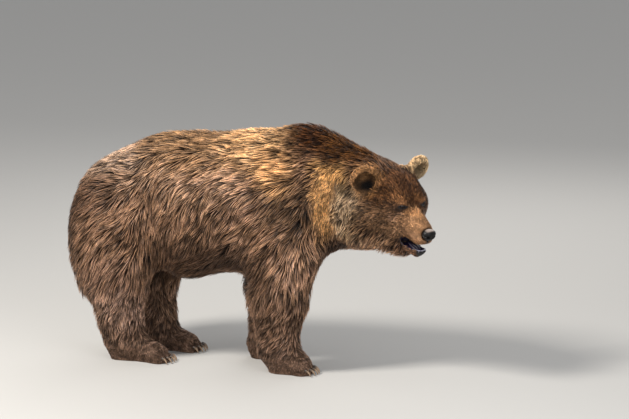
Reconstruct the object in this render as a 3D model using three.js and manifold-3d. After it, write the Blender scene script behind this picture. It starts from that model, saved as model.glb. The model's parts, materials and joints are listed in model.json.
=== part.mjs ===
// A brown bear at life size, standing on all fours with its head low and turned to its right.
//
// Millimetres. +X runs towards the head, +Y to the bear's left, +Z up. The origin is on the floor below
// the middle of the bear's box. Every outline is that of the coat's tips.
//
// The body is one soft shape: a blend of named masses, such as the rib cage, the hump and the cheeks.
// Each length of it is a loft whose rings are cast from its axis out to that shape, so neighbours share
// one outline, and thin cuts part them. Ears, eyes, nose, jaw, tongue and claws are pieces of their own.
import * as THREE from "three";
import { mergeVertices } from "three/addons/utils/BufferGeometryUtils.js";
import Module from "manifold-3d";

const wasm = await Module();
wasm.setup();

const V = (x, y, z) => new THREE.Vector3(x, y, z);
const deg = THREE.MathUtils.degToRad;
const { lerp } = THREE.MathUtils;

// ---------------------------------------------------------------- sizes that drive the rest
const CUT = 0.4; // width of the thin cut between two pieces
const TRUNK_SIDES = 24; // facets round the trunk and neck
const HEAD_SIDES = 26;
const LEG_SIDES = 14;
const PAW_SIDES = 12;
const STANCE = 131; // from the middle line to the middle of each foot
const HEAD_YAW = deg(-32); // the head turns to the bear's right
const HEAD_PITCH = deg(-22); // and points down
const HEAD_ROLL = deg(3); // with its left side a little higher
const BETWEEN_EYES = V(906, -188, 812); // the head's own origin
const EYE_APART = 54; // from the head's middle plane to the middle of each eyeball
const EYE_R = 12;

// ---------------------------------------------------------------- the soft shape
// A mass is a function of a point that is below 0 inside it and grows by about 1 for each millimetre
// outside.
const local = new THREE.Vector3();
const scaled = new THREE.Vector3();

function blob(centre, radii, turn = new THREE.Matrix4()) {
  const toLocal = new THREE.Matrix4().makeTranslation(centre).multiply(turn).invert();
  return (p) => {
    local.copy(p).applyMatrix4(toLocal).divide(radii);
    const near = local.length();
    const steep = scaled.copy(local).divide(radii).length();
    return steep < 1e-9 ? -Math.min(radii.x, radii.y, radii.z) : (near * (near - 1)) / steep;
  };
}

// A round bar that tapers from one radius to another, thinner across the body by the factor slim.
function bar(from, to, fromRadius, toRadius, slim = 1) {
  const squeeze = V(1, slim, 1);
  const start = from.clone().multiply(squeeze);
  const along = to.clone().multiply(squeeze).sub(start);
  return (p) => {
    local.copy(p).multiply(squeeze).sub(start);
    const share = THREE.MathUtils.clamp(local.dot(along) / along.lengthSq(), 0, 1);
    return local.addScaledVector(along, -share).length() - lerp(fromRadius, toRadius, share);
  };
}

function softMin(a, b, reach) {
  const h = Math.max(reach - Math.abs(a - b), 0) / reach;
  return Math.min(a, b) - (h * h * reach) / 4;
}

const blend = (reach, masses) => (p) => masses.reduce((d, mass) => softMin(d, mass(p), reach), 1e4);
const nearest = (masses) => (p) => Math.min(...masses.map((mass) => mass(p)));
const hollow = (solid, pit, reach) => (p) => -softMin(-solid(p), pit(p), reach);

// ---------------------------------------------------------------- trunk and neck
const trunk = blend(90, [
  blob(V(-548, 0, 668), V(252, 236, 266)), // pelvis and rump
  blob(V(-300, 0, 728), V(330, 256, 318)), // loin
  blob(V(-70, 0, 728), V(370, 280, 324)), // belly
  blob(V(-235, 0, 478), V(112, 150, 112)), // long hair under the belly
  blob(V(160, 0, 764), V(320, 262, 322)), // ribs
  blob(V(343, 0, 956), V(174, 128, 170)), // hump
  blob(V(335, 0, 668), V(140, 196, 176)), // breast
  blob(V(505, -20, 805), V(190, 178, 247)), // base of the neck
  blob(V(655, -58, 778), V(165, 172, 218)), // nape and throat
]);

// ---------------------------------------------------------------- head
const headFrame = new THREE.Matrix4()
  .makeTranslation(BETWEEN_EYES)
  .multiply(new THREE.Matrix4().makeRotationZ(HEAD_YAW))
  .multiply(new THREE.Matrix4().makeRotationY(-HEAD_PITCH))
  .multiply(new THREE.Matrix4().makeRotationX(HEAD_ROLL));
const headTurn = new THREE.Matrix4().extractRotation(headFrame);
const inHead = (forward, left, up) => V(forward, left, up).applyMatrix4(headFrame);
const headBlob = (at, radii) => blob(inHead(...at), V(...radii), headTurn);
const bothSides = (make) => [-1, 1].map(make);

const skull = blend(34, [
  headBlob([-160, 0, -20], [150, 131, 118]), // braincase
  ...bothSides((s) => headBlob([-46, s * 44, 18], [42, 32, 28])), // brows
  ...bothSides((s) => headBlob([-64, s * 82, -28], [54, 40, 48])), // temples
  ...bothSides((s) => headBlob([-90, s * 62, -72], [90, 64, 78])), // cheekbones
  ...bothSides((s) => headBlob([-150, s * 72, -118], [108, 74, 98])), // cheek ruff
  ...bothSides((s) => headBlob([2, s * 36, -84], [60, 32, 48])), // cheeks behind the mouth
  headBlob([-62, 0, -168], [104, 88, 114]), // jowl
  bar(inHead(-8, 0, -46), inHead(128, 0, -75), 37, 33), // bridge and muzzle
  headBlob([58, 0, -86], [84, 46, 50]), // snout
  ...bothSides((s) => headBlob([88, s * 23, -113], [48, 22, 31])), // upper lips
]);
const eyePits = nearest(bothSides((s) => headBlob([12, s * (EYE_APART + 10), -5], [24, 17, 13])));
const head = hollow(skull, eyePits, 8);

// ---------------------------------------------------------------- legs
// Each leg leans by how far its foot, wrist or hock and elbow or knee stand forward of the plain pose.
const LEGS = [
  { name: "front_right", side: -1, front: true, foot: 0, ankle: 0, mid: 0 },
  { name: "front_left", side: 1, front: true, foot: -203, ankle: -150, mid: -135 },
  { name: "hind_right", side: -1, front: false, foot: 14, ankle: 0, mid: 0 },
  { name: "hind_left", side: 1, front: false, foot: 48, ankle: 46, mid: 26 },
];
const ANKLE_Z = 92; // where a paw is cut from its leg

function foreleg(leg) {
  const y = leg.side * STANCE;
  const elbow = V(252 + leg.mid, leg.side * 142, 350);
  const wrist = V(244 + leg.ankle, y, 120);
  return {
    axis: [
      V(285 + leg.mid * 0.8, leg.side * 150, 640),
      V(272 + leg.mid, leg.side * 148, 500),
      elbow,
      wrist,
    ],
    middle: 330,
    shape: blend(50, [
      blob(V(285 + leg.mid * 0.7, leg.side * 150, 690), V(178, 118, 250)), // shoulder
      bar(V(290 + leg.mid * 0.9, leg.side * 148, 540), elbow, 172, 142, 1.3), // upper arm
      bar(elbow, wrist, 142, 98, 1.25), // forearm
      bar(wrist, V(280 + leg.foot, y, 62), 96, 60, 1.1), // wrist
    ]),
  };
}

function hindLeg(leg) {
  const y = leg.side * STANCE;
  const knee = V(-545 + leg.mid, leg.side * 146, 420);
  const hock = V(-522 + leg.ankle, y, 150);
  return {
    axis: [V(-560, leg.side * 150, 640), V(-560 + leg.mid / 2, leg.side * 150, 520), knee, hock],
    middle: 330,
    shape: blend(50, [
      blob(V(-583 + leg.mid / 3, leg.side * 140, 548), V(205, 128, 250)), // thigh
      blob(V(-650 + leg.mid / 2, leg.side * 145, 372), V(90, 80, 105)), // hair behind the thigh
      blob(V(-450 + leg.mid, leg.side * 150, 410), V(88, 84, 130)), // stifle
      bar(knee, hock, 156, 110, 1.3), // shank
      bar(hock, V(-528 + leg.foot, y, 62), 110, 62, 1.2), // hock
    ]),
  };
}

// A foot's masses, from its heel to its toes. It turns out a little from the line of the body.
const TOES = 5;
function footOf(leg) {
  const y = leg.side * STANCE;
  const size = leg.front
    ? { heel: 258, pad: 358, toeTip: 388, high: 48, wide: 62, claw: 47 }
    : { heel: -535, pad: -358, toeTip: -322, high: 50, wide: 58, claw: 45 };
  const heel = V(size.heel + leg.foot, y, size.high);
  const pad = V(size.pad + leg.foot, y + leg.side * 6, 34);
  const toes = Array.from({ length: TOES }, (_, i) => {
    const across = (i / (TOES - 1)) * 2 - 1; // -1 is the inner toe and 1 the outer
    const reach = size.toeTip - 14 * across * across;
    return V(reach + leg.foot, y + leg.side * (6 + 50 * across), 20);
  });
  return {
    heel,
    pad,
    toes,
    claw: size.claw,
    shape: blend(30, [
      blob(heel, V(62, size.wide, size.high + 8)),
      bar(heel, pad, 56, 44, 56 / (size.wide + 6)),
      blob(pad, V(42, 72, 42)),
      bar(heel.clone().add(V(10, 0, 60)), pad, 60, 34, 0.95), // instep
    ]),
  };
}

const legOf = (leg) => (leg.front ? foreleg(leg) : hindLeg(leg));
const limbs = LEGS.map((leg) => ({ ...leg, ...legOf(leg), sole: footOf(leg) }));
const legShapes = limbs.map((limb) => blend(40, [limb.shape, limb.sole.shape]));
const body = blend(70, [trunk, head, nearest(legShapes)]);

// ---------------------------------------------------------------- lofts
// Distance from a point, along a ray, to the edge of a shape.
function edgeAlong(shape, from, ray, most) {
  const STEP = 12;
  const at = (d) => shape(from.clone().addScaledVector(ray, d));
  let outside = STEP;
  while (outside < most && at(outside) < 0) outside += STEP;
  if (outside >= most) return most;
  let inside = outside - STEP;
  for (let i = 0; i < 14; i++) {
    const half = (inside + outside) / 2;
    if (at(half) < 0) inside = half;
    else outside = half;
  }
  return (inside + outside) / 2;
}

// A ring of a loft: its middle, the way ahead, and lean, the angle from ahead at which its rays leave.
function ring(middle, ahead, lean = Math.PI / 2, left = V(0, 0, 1).cross(ahead)) {
  const side = left.clone().normalize();
  return { middle, ahead, side, up: ahead.clone().cross(side), lean };
}

// The closed loft through its rings. A first or last ring whose lean is straight ahead or back ends in one
// point, and any other is closed by a flat face.
function loft(rings, shape, sides, most = 460) {
  const points = [];
  const faces = [];
  const rows = rings.map((r) => {
    const start = points.length;
    const pointed = Math.sin(r.lean) < 1e-6;
    for (let j = 0; j < (pointed ? 1 : sides); j++) {
      const turn = (2 * Math.PI * (j + 0.5)) / sides;
      const ray = r.side
        .clone()
        .multiplyScalar(Math.cos(turn) * Math.sin(r.lean))
        .addScaledVector(r.up, Math.sin(turn) * Math.sin(r.lean))
        .addScaledVector(r.ahead, Math.cos(r.lean));
      points.push(r.middle.clone().addScaledVector(ray, edgeAlong(shape, r.middle, ray, most)));
    }
    return { start, pointed };
  });
  const at = (row, j) => row.start + (row.pointed ? 0 : j % sides);
  for (let i = 0; i + 1 < rows.length; i++) {
    for (let j = 0; j < sides; j++) {
      const [a, b, c, d] = [at(rows[i], j), at(rows[i], j + 1), at(rows[i + 1], j + 1), at(rows[i + 1], j)];
      if (!rows[i].pointed) faces.push(a, b, d);
      if (!rows[i + 1].pointed) faces.push(b, c, d);
    }
  }
  for (const [row, middle, way] of [
    [rows[0], rings[0].middle, -1],
    [rows.at(-1), rings.at(-1).middle, 1],
  ]) {
    if (row.pointed) continue;
    const centre = points.push(middle.clone()) - 1;
    for (let j = 0; j < sides; j++) {
      const pair = way > 0 ? [at(row, j), at(row, j + 1)] : [at(row, j + 1), at(row, j)];
      faces.push(centre, ...pair);
    }
  }
  const made = new THREE.BufferGeometry().setFromPoints(points);
  return made.setIndex(faces);
}

// ---------------------------------------------------------------- cuts and joins
function solid(geometry) {
  const plain = geometry.clone();
  plain.deleteAttribute("normal");
  plain.deleteAttribute("uv");
  const merged = mergeVertices(plain, 1e-3);
  return new wasm.Manifold(
    new wasm.Mesh({
      numProp: 3,
      vertProperties: new Float32Array(merged.attributes.position.array),
      triVerts: new Uint32Array(merged.index.array),
    }),
  );
}

function geometryOf(made) {
  const mesh = made.getMesh();
  return new THREE.BufferGeometry()
    .setAttribute("position", new THREE.BufferAttribute(mesh.vertProperties, 3))
    .setIndex(new THREE.BufferAttribute(mesh.triVerts, 1));
}

// Only the largest body of a cut, without the crumbs that a cut leaves.
const largest = (made) => made.decompose().reduce((a, b) => (b.volume() > a.volume() ? b : a));

const box = (low, high) => {
  const size = high.clone().sub(low);
  const middle = low.clone().addScaledVector(size, 0.5);
  return solid(new THREE.BoxGeometry(size.x, size.y, size.z).translate(...middle));
};

const ball = (centre, radii, across = 12, down = 8, turn = new THREE.Matrix4()) =>
  solid(
    new THREE.SphereGeometry(1, across, down)
      .scale(radii.x, radii.y, radii.z)
      .applyMatrix4(new THREE.Matrix4().makeTranslation(centre).multiply(turn)),
  );

// ---------------------------------------------------------------- the pieces
const bear = new THREE.Group();

const coat = (color) => new THREE.MeshStandardMaterial({ color, roughness: 0.9, metalness: 0 });
const FINISH = {
  coat: coat(0x6b4526),
  darkCoat: coat(0x4b3020),
  face: coat(0x8a5a30),
  nose: new THREE.MeshStandardMaterial({ color: 0x17130f, roughness: 0.4, metalness: 0 }),
  mouth: new THREE.MeshStandardMaterial({ color: 0x2a1a20, roughness: 0.35, metalness: 0 }),
  eye: new THREE.MeshStandardMaterial({ color: 0x140c06, roughness: 0.1, metalness: 0 }),
  claw: new THREE.MeshStandardMaterial({ color: 0x6e5f4c, roughness: 0.5, metalness: 0 }),
};

function addPiece(name, made, material) {
  const mesh = new THREE.Mesh(geometryOf(made), material);
  mesh.name = name;
  bear.add(mesh);
}

// The spine runs from the pelvis through the middle of every section to the muzzle.
const spine = new THREE.CatmullRomCurve3([
  V(-545, 0, 672),
  V(-330, 0, 716),
  V(-60, 0, 722),
  V(180, 0, 745),
  V(360, 0, 786),
  V(520, -8, 818),
  V(660, -40, 824),
  V(780, -100, 798),
  inHead(-60, 0, -66),
  inHead(30, 0, -70),
  inHead(124, 0, -82),
]);
const spineRing = (share, lean) => ring(spine.getPointAt(share), spine.getTangentAt(share), lean);

// Where a section stands along the spine, as a share of its length, found from its distance forward.
function shareAt(test) {
  let [low, high] = [0, 1];
  for (let i = 0; i < 40; i++) {
    const half = (low + high) / 2;
    if (test(spine.getPointAt(half))) low = half;
    else high = half;
  }
  return low;
}
const shareAtX = (x) => shareAt((p) => p.x < x);

// The rings between two shares of the spine, with the end rings moved in by half a cut. A bunch above 1
// sets them closer together towards the head.
function between(low, high, count, bunch = 1) {
  const shares = Array.from({ length: count + 1 }, (_, i) => lerp(high, low, (1 - i / count) ** bunch));
  const rings = shares.map((share) => spineRing(share));
  if (low > 0) rings[0].middle.addScaledVector(rings[0].ahead, CUT / 2);
  if (high < 1) rings[count].middle.addScaledVector(rings[count].ahead, -CUT / 2);
  return rings;
}
// Rings that fan out from the spine's end, to close it with a round end.
const fan = (share, from, to, count) =>
  Array.from({ length: count }, (_, i) => spineRing(share, lerp(from, to, i / (count - 1 || 1))));

const CUTS = {
  loin: shareAtX(-345),
  ribs: shareAtX(40),
  neck: shareAtX(480),
  head: shareAtX(690),
};
const rumpFan = fan(0, Math.PI, Math.PI * 0.58, 6);
const noseFan = fan(1, Math.PI * 0.36, 0, 4);

// ---------------------------------------------------------------- legs
// The cut that parts a leg from the trunk rises outwards from the groin or armpit. Its wedge is an
// outline across the body, x to the bear's left and y up, drawn out along the body.
function legWedge(limb, grow) {
  const { back, front, groin, side } = limb.front
    ? { back: 84, front: 520, groin: 470, side: 760 }
    : { back: -900, front: -352, groin: 455, side: 790 };
  const outline = new THREE.Shape([
    new THREE.Vector2(50 - grow, 0),
    new THREE.Vector2(50 - grow, groin + grow),
    new THREE.Vector2(330, side + grow),
    new THREE.Vector2(600, side + grow),
    new THREE.Vector2(600, 0),
  ]);
  const long = front - back + 2 * grow;
  const wedge = new THREE.ExtrudeGeometry(outline, { depth: long, bevelEnabled: false });
  wedge.applyMatrix4(new THREE.Matrix4().makeBasis(V(0, 1, 0), V(0, 0, 1), V(1, 0, 0)));
  if (limb.side < 0) wedge.rotateZ(Math.PI).translate(long, 0, 0);
  return solid(wedge.translate(back - grow + limb.mid, 0, 0));
}

// Level rings down a leg, from one height to another. A hole for the leg is a cut's width larger, and
// stands well clear of the skin, so that it leaves no flakes of the trunk there.
function legLoft(limb, shape, high, low, count, grow) {
  const clear = grow > 0 ? 25 : 0;
  const points = new THREE.CatmullRomCurve3(limb.axis).getSpacedPoints(200);
  const middleAt = (z) => {
    const next = points.findIndex((p) => p.z <= z);
    if (next <= 0) return points.at(next === 0 ? 0 : -1).clone().setZ(z);
    const [a, b] = [points[next - 1], points[next]];
    return a.clone().lerp(b, (a.z - z) / (a.z - b.z));
  };
  const heights = Array.from({ length: count + 1 }, (_, i) => lerp(high, low, i / count));
  heights[0] += grow;
  heights[count] -= grow;
  const rings = heights.map((z) => ring(middleAt(z), V(0, 0, -1), Math.PI / 2, V(0, 1, 0)));
  return solid(loft(rings, (p) => shape(p) - clear, LEG_SIDES, 250 + grow));
}

const floor = box(V(-1200, -600, -300), V(1400, 600, 0));

// A claw is a curved horn with its root inside the toe.
function claw(toe, length, spread) {
  const root = toe.clone().add(V(14, 0, 6));
  const tip = V(toe.x + length, toe.y + spread, 4);
  const bend = root.clone().lerp(tip, 0.5).add(V(8, 0, 11));
  const way = new THREE.QuadraticBezierCurve3(root, bend, tip);
  const rings = [0, 0.4, 0.75].map((share) => ring(way.getPoint(share), way.getTangent(share)));
  rings.push(ring(tip, way.getTangent(1), 0));
  const horn = (p) => {
    const share = THREE.MathUtils.clamp((p.x - root.x) / (tip.x - root.x), 0, 1);
    return way.getPoint(share).distanceTo(p) - lerp(9, 2.5, share);
  };
  return solid(loft(rings, horn, 6, 30));
}

function pawOf({ heel, pad, toes }, shape) {
  const ahead = pad.clone().sub(heel).setZ(0).normalize();
  const from = heel.clone().setZ(30);
  const to = pad.clone().setZ(28);
  const left = V(0, 0, 1).cross(ahead);
  const turned = (middle, lean) => ring(middle, ahead, lean * Math.PI, left);
  const rings = [
    ...[1, 0.83, 0.67].map((lean) => turned(from, lean)),
    ...[0, 0.25, 0.5, 0.75, 1].map((share) => turned(from.clone().lerp(to, share), 0.5)),
    ...[0.33, 0.17, 0].map((lean) => turned(to, lean)),
  ];
  const foot = solid(loft(rings, shape, PAW_SIDES, 150));
  const toePads = toes.map((toe) => ball(toe, V(36, 14.5, 23), 7, 5));
  const whole = toePads.reduce((joined, toe) => joined.add(toe), foot);
  return largest(whole.subtract(floor).subtract(box(V(-1200, -600, ANKLE_Z - CUT / 2), V(1400, 600, 900))));
}

const legSockets = limbs.map((limb, i) => {
  const shape = blend(70, [trunk, legShapes[i]]);
  const top = limb.front ? 780 : 810;
  const upperLeg = (grow) =>
    legLoft(limb, shape, top, limb.middle + CUT / 2, 7, grow).intersect(legWedge(limb, grow));
  const lowerLeg = (grow) => legLoft(limb, shape, limb.middle - CUT / 2, ANKLE_Z + CUT / 2, 5, grow);
  const paw = pawOf(limb.sole, legShapes[i]);
  addPiece(`upper_leg_${limb.name}`, largest(upperLeg(0)), FINISH.coat);
  addPiece(`lower_leg_${limb.name}`, largest(lowerLeg(0)), FINISH.darkCoat);
  addPiece(`paw_${limb.name}`, paw, FINISH.darkCoat);
  limb.sole.toes.forEach((toe, k) => {
    const horn = claw(toe, limb.sole.claw, limb.side * (k - 2) * 2).subtract(floor);
    const hole = ball(toe, V(36, 14.5, 23).addScalar(CUT), 7, 5);
    addPiece(`claw_${limb.name}_${k + 1}`, largest(horn.subtract(hole).subtract(paw)), FINISH.claw);
  });
  // The hole that the trunk leaves for this leg is a cut's width larger all round.
  return upperLeg(CUT).add(lowerLeg(CUT));
});

// ---------------------------------------------------------------- trunk and neck pieces
function trunkPiece(rings) {
  const whole = solid(loft(rings, body, TRUNK_SIDES, 380));
  return largest(legSockets.reduce((left, socket) => left.subtract(socket), whole));
}
addPiece("hips", trunkPiece([...rumpFan, ...between(0, CUTS.loin, 5)]), FINISH.coat);
addPiece("belly", trunkPiece(between(CUTS.loin, CUTS.ribs, 6)), FINISH.coat);
addPiece("chest", trunkPiece(between(CUTS.ribs, CUTS.neck, 8)), FINISH.coat);
addPiece("neck", trunkPiece(between(CUTS.neck, CUTS.head, 5)), FINISH.coat);

// ---------------------------------------------------------------- head pieces
const headRings = [...between(CUTS.head, 1, 18, 1.35), ...noseFan];
const headSolid = (grow) => solid(loft(headRings, (p) => body(p) - grow, HEAD_SIDES));
const nearHead = headSolid(CUT);

const mouthCavity = ball(inHead(74, 0, -160), V(70, 60, 21), 14, 7, headTurn);
const eyeAt = (s) => inHead(-6, s * EYE_APART, -5);
const round = (radius) => V(radius, radius, radius);

// The nose pad stands on the end of the muzzle, with two nostrils that open forwards and outwards.
const noseAt = inHead(141, 0, -73);
const noseBall = (grow) => ball(noseAt, V(24, 34, 30).addScalar(grow), 12, 9, headTurn);
const nostril = (s) => {
  const outwards = new THREE.Matrix4().makeRotationZ(s * deg(35));
  return ball(inHead(164, s * 18, -75), V(12, 9, 8), 8, 6, outwards.premultiply(headTurn));
};
const without = (whole, holes) => largest(holes.reduce((left, hole) => left.subtract(hole), whole));
const eyeHoles = bothSides((s) => ball(eyeAt(s), round(EYE_R + CUT), 9, 7));
addPiece("head", without(headSolid(0), [mouthCavity, noseBall(CUT), ...eyeHoles]), FINISH.face);
addPiece("nose", without(noseBall(0), bothSides(nostril)), FINISH.nose);

// The lower jaw hangs open from behind the corners of the mouth, with long hair below it.
const jawShape = blend(20, [
  ...bothSides((s) => bar(inHead(12, s * 42, -178), inHead(118, s * 14, -180), 20, 11)),
  ...bothSides((s) => headBlob([4, s * 48, -152], [24, 20, 26])), // corners of the mouth
  ...bothSides((s) => headBlob([2, s * 24, -220], [48, 36, 44])), // hair under the jaw
  headBlob([121, 0, -175], [16, 22, 16]), // lower lip, which stands up round the front
  headBlob([54, 0, -184], [66, 34, 13]),
  headBlob([80, 0, -194], [36, 24, 13]), // chin
]);
const jawAxis = new THREE.LineCurve3(inHead(-30, 0, -184), inHead(116, 0, -182));
const jawRing = (share, lean) => ring(jawAxis.getPointAt(share), jawAxis.getTangentAt(share), lean);
const jawRings = [
  ...[0, 0.14, 0.28, 0.42, 0.56, 0.7, 0.85, 1].map((share) => jawRing(share)),
  ...[0.36, 0.2, 0].map((lean) => jawRing(1, lean * Math.PI)),
];
const jaw = (grow) => solid(loft(jawRings, (p) => jawShape(p) - grow, 14));
addPiece("lower_jaw", largest(jaw(0).subtract(mouthCavity).subtract(nearHead)), FINISH.face);

// The tongue lies on the floor of the mouth.
const tongue = ball(inHead(70, 0, -171), V(46, 23, 9), 9, 5, headTurn);
const aroundTongue = [jaw(CUT), nearHead].map((made) => made.subtract(mouthCavity));
addPiece("tongue", without(tongue, aroundTongue), FINISH.mouth);

// Ears are round cups, open forwards and outwards, with their rims thickest above. Each stands a little
// differently.
function ear(side, centre, wide) {
  const thick = 36;
  const turn = new THREE.Matrix4()
    .multiplyMatrices(headTurn, new THREE.Matrix4().makeRotationZ(side * deg(14)))
    .multiply(new THREE.Matrix4().makeRotationY(deg(-6)));
  const bowlAt = centre.clone().add(V(1, 0, -0.35).transformDirection(turn).multiplyScalar(thick * 0.78));
  const bowl = ball(bowlAt, V(thick, 50, 43), 9, 6, turn);
  return without(ball(centre, V(thick, wide, 67), 12, 7, turn), [bowl, nearHead]);
}
for (const [s, side, centre, wide] of [
  [-1, "right", inHead(-186, -150, 50), 71],
  [1, "left", inHead(-196, 146, 48), 76],
]) {
  addPiece(`ear_${side}`, ear(s, centre, wide), FINISH.coat);
  addPiece(`eye_${side}`, ball(eyeAt(s), round(EYE_R), 9, 7), FINISH.eye);
}

// ---------------------------------------------------------------- tail
const tailFrom = V(-748, 0, 775);
const tailTo = V(-812, 0, 650);
const tailAhead = tailTo.clone().sub(tailFrom).normalize();
const tailAt = (share) => tailFrom.clone().lerp(tailTo, share);
const tailRing = (share, lean) => ring(tailAt(share), tailAhead, lean * Math.PI, V(0, 1, 0));
const tailRings = [0.1, 0.45, 0.8, 1].map((share) => tailRing(share, 0.5));
tailRings.push(...[0.3, 0].map((lean) => tailRing(1, lean)));
const tail = solid(loft(tailRings, bar(tailFrom, tailTo, 40, 22), 12));
const nearRump = solid(loft([...rumpFan, ...between(0, CUTS.loin, 5)], (p) => body(p) - CUT, TRUNK_SIDES));
addPiece("tail", largest(tail.subtract(nearRump)), FINISH.coat);

// ---------------------------------------------------------------- the part's own frame
const all = new THREE.Box3().setFromObject(bear);
bear.position.set(-(all.min.x + all.max.x) / 2, -(all.min.y + all.max.y) / 2, -all.min.z);

export default bear;
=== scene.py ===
# A brown bear at life size, finished as a museum would show it: one skin from nose to tail, a coat of
# solid locks laid over it, and separate eyes, nose, tongue and claws.
import json
import math

import bpy
import numpy as np
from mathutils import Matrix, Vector
from mathutils.bvhtree import BVHTree
from mathutils.kdtree import KDTree

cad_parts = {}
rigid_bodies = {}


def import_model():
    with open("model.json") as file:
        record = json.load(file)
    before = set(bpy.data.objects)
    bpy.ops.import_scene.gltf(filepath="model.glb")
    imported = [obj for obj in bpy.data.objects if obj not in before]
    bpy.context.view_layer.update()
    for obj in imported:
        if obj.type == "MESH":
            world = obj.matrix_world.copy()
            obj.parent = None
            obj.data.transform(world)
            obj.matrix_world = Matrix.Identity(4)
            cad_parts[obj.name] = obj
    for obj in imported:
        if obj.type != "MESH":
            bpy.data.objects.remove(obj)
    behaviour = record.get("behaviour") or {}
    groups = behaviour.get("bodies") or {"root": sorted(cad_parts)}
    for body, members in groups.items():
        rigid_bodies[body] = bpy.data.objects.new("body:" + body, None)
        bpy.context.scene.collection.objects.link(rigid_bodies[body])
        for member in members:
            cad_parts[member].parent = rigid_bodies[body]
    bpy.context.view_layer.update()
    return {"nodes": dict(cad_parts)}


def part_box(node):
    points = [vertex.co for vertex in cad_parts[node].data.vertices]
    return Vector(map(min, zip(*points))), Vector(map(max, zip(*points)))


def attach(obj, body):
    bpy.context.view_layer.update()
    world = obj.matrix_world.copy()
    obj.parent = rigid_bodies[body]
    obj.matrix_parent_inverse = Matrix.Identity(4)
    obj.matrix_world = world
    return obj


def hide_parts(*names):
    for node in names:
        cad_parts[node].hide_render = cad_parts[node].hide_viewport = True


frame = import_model()
bpy.ops.object.select_all(action="DESELECT")

# ------------------------------------------------------------------ skin
# One hide over the whole animal, from the nose to the tail. It is made from the pieces of flesh, fattened
# until their cuts close and joined into one surface, then smoothed and drawn in by the depth of the coat.
FLESH = [name for name in frame["nodes"] if not name.startswith(("claw_", "eye_", "nose", "tongue"))]

# Places on the head are in metres ahead, left and up of the place midway between the eyes.
EYE_AT = (-0.006, 0.054, -0.005)  # the left eye
EYE_OUT = (0.806, 0.586, 0.08)  # the way it looks
EYE_RADIUS = 0.0112
NOSE_AT = (0.142, 0, -0.073)
NOSE_AHEAD, NOSE_BELOW = 147, 68  # of the middles of the eyes, in millimetres
EARS = {"ear_right": (-0.186, -0.150, 0.050), "ear_left": (-0.196, 0.146, 0.048)}
EAR_OUT = (0.944, 0.227, -0.23)  # from the middle of the left ear into its hollow
FACE_AT, FACE_SIZE = (0.02, 0, -0.08), (0.19, 0.13, 0.16)


def middle(node):
    low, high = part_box(node)
    return (low + high) / 2


# The head's own directions come from its eyes and nose: ahead along the muzzle, left, and up.
eye_middle = (middle("eye_left") + middle("eye_right")) / 2
head_left = (middle("eye_left") - middle("eye_right")).normalized()
to_nose = (middle("nose") - eye_middle).normalized()
nose_drop = math.atan2(NOSE_BELOW, NOSE_AHEAD)
above_nose = to_nose.cross(head_left)
head_ahead = to_nose * math.cos(nose_drop) + above_nose * math.sin(nose_drop)
head_up = head_ahead.cross(head_left)
HEAD_AXES = np.array([head_ahead, head_left, head_up])
HEAD_ORIGIN = np.array(eye_middle - head_ahead * EYE_AT[0] - head_up * EYE_AT[2])


def in_head(points):
    """Points of the animal as places on the head."""
    return (np.asarray(points) - HEAD_ORIGIN) @ HEAD_AXES.T


def from_head(points):
    return np.asarray(points) @ HEAD_AXES + HEAD_ORIGIN


def unit(vectors):
    return vectors / np.maximum(np.linalg.norm(vectors, axis=-1, keepdims=True), 1e-9)


def dot(first, second):
    return (first * second).sum(1)


def ramp(value, low, high):
    """0 below low, 1 above high and a smooth step between them. low may be the larger one."""
    share = np.clip((value - low) / (high - low), 0, 1)
    return share * share * (3 - 2 * share)


def near(points, centre, radii, soft=0.35):
    """1 inside an ellipsoid, fading to 0 over a share of its size outside it."""
    reach = np.linalg.norm((points - np.array(centre)) / np.array(radii), axis=1)
    return ramp(reach, 1 + soft, 1 - soft * 0.3)


def blend(first, second, share):
    """first where share is 0 and second where it is 1."""
    return first + (second - first) * share


def from_eyes(spot, half_gap):
    """How far each place on the head lies from the nearer eye."""
    return np.minimum(*[np.linalg.norm(spot - (0, side * half_gap, -0.004), axis=1) for side in (-1, 1)])


def shortened(ahead, length, *cuts):
    """A length that loses each cut on the way ahead between two places."""
    for cut, start, end in cuts:
        length = length - cut * ramp(ahead, start, end)
    return length


def parts_of(points):
    """Each point's place on the head, and how much it is skull, face, ear, paw and leg, from 0 to 1."""
    head = in_head(points)
    ear = np.maximum(*[near(head, at, (0.060, 0.082, 0.078), 0.2) for at in EARS.values()])
    skull = near(head, (-0.09, 0, -0.08), (0.29, 0.25, 0.24), 0.2)
    face = skull * ramp(head[:, 0], -0.11, 0.0)
    paw = ramp(points[:, 2], 0.115, 0.06)
    leg = ramp(points[:, 2], 0.42, 0.26)
    return {"head": head, "skull": skull, "face": face, "ear": ear, "paw": paw, "leg": leg}


FLANK_HAIR, BELLY_EXTRA, NECK_HAIR, HUMP_HAIR, LEG_HAIR = 0.078, 0.016, 0.030, 0.055, 0.046
PAW_HAIR, EAR_HAIR, MUZZLE_HAIR, LID_HAIR = 0.016, 0.024, 0.0085, 0.007
DEEPEST_COAT = 0.023


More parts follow.
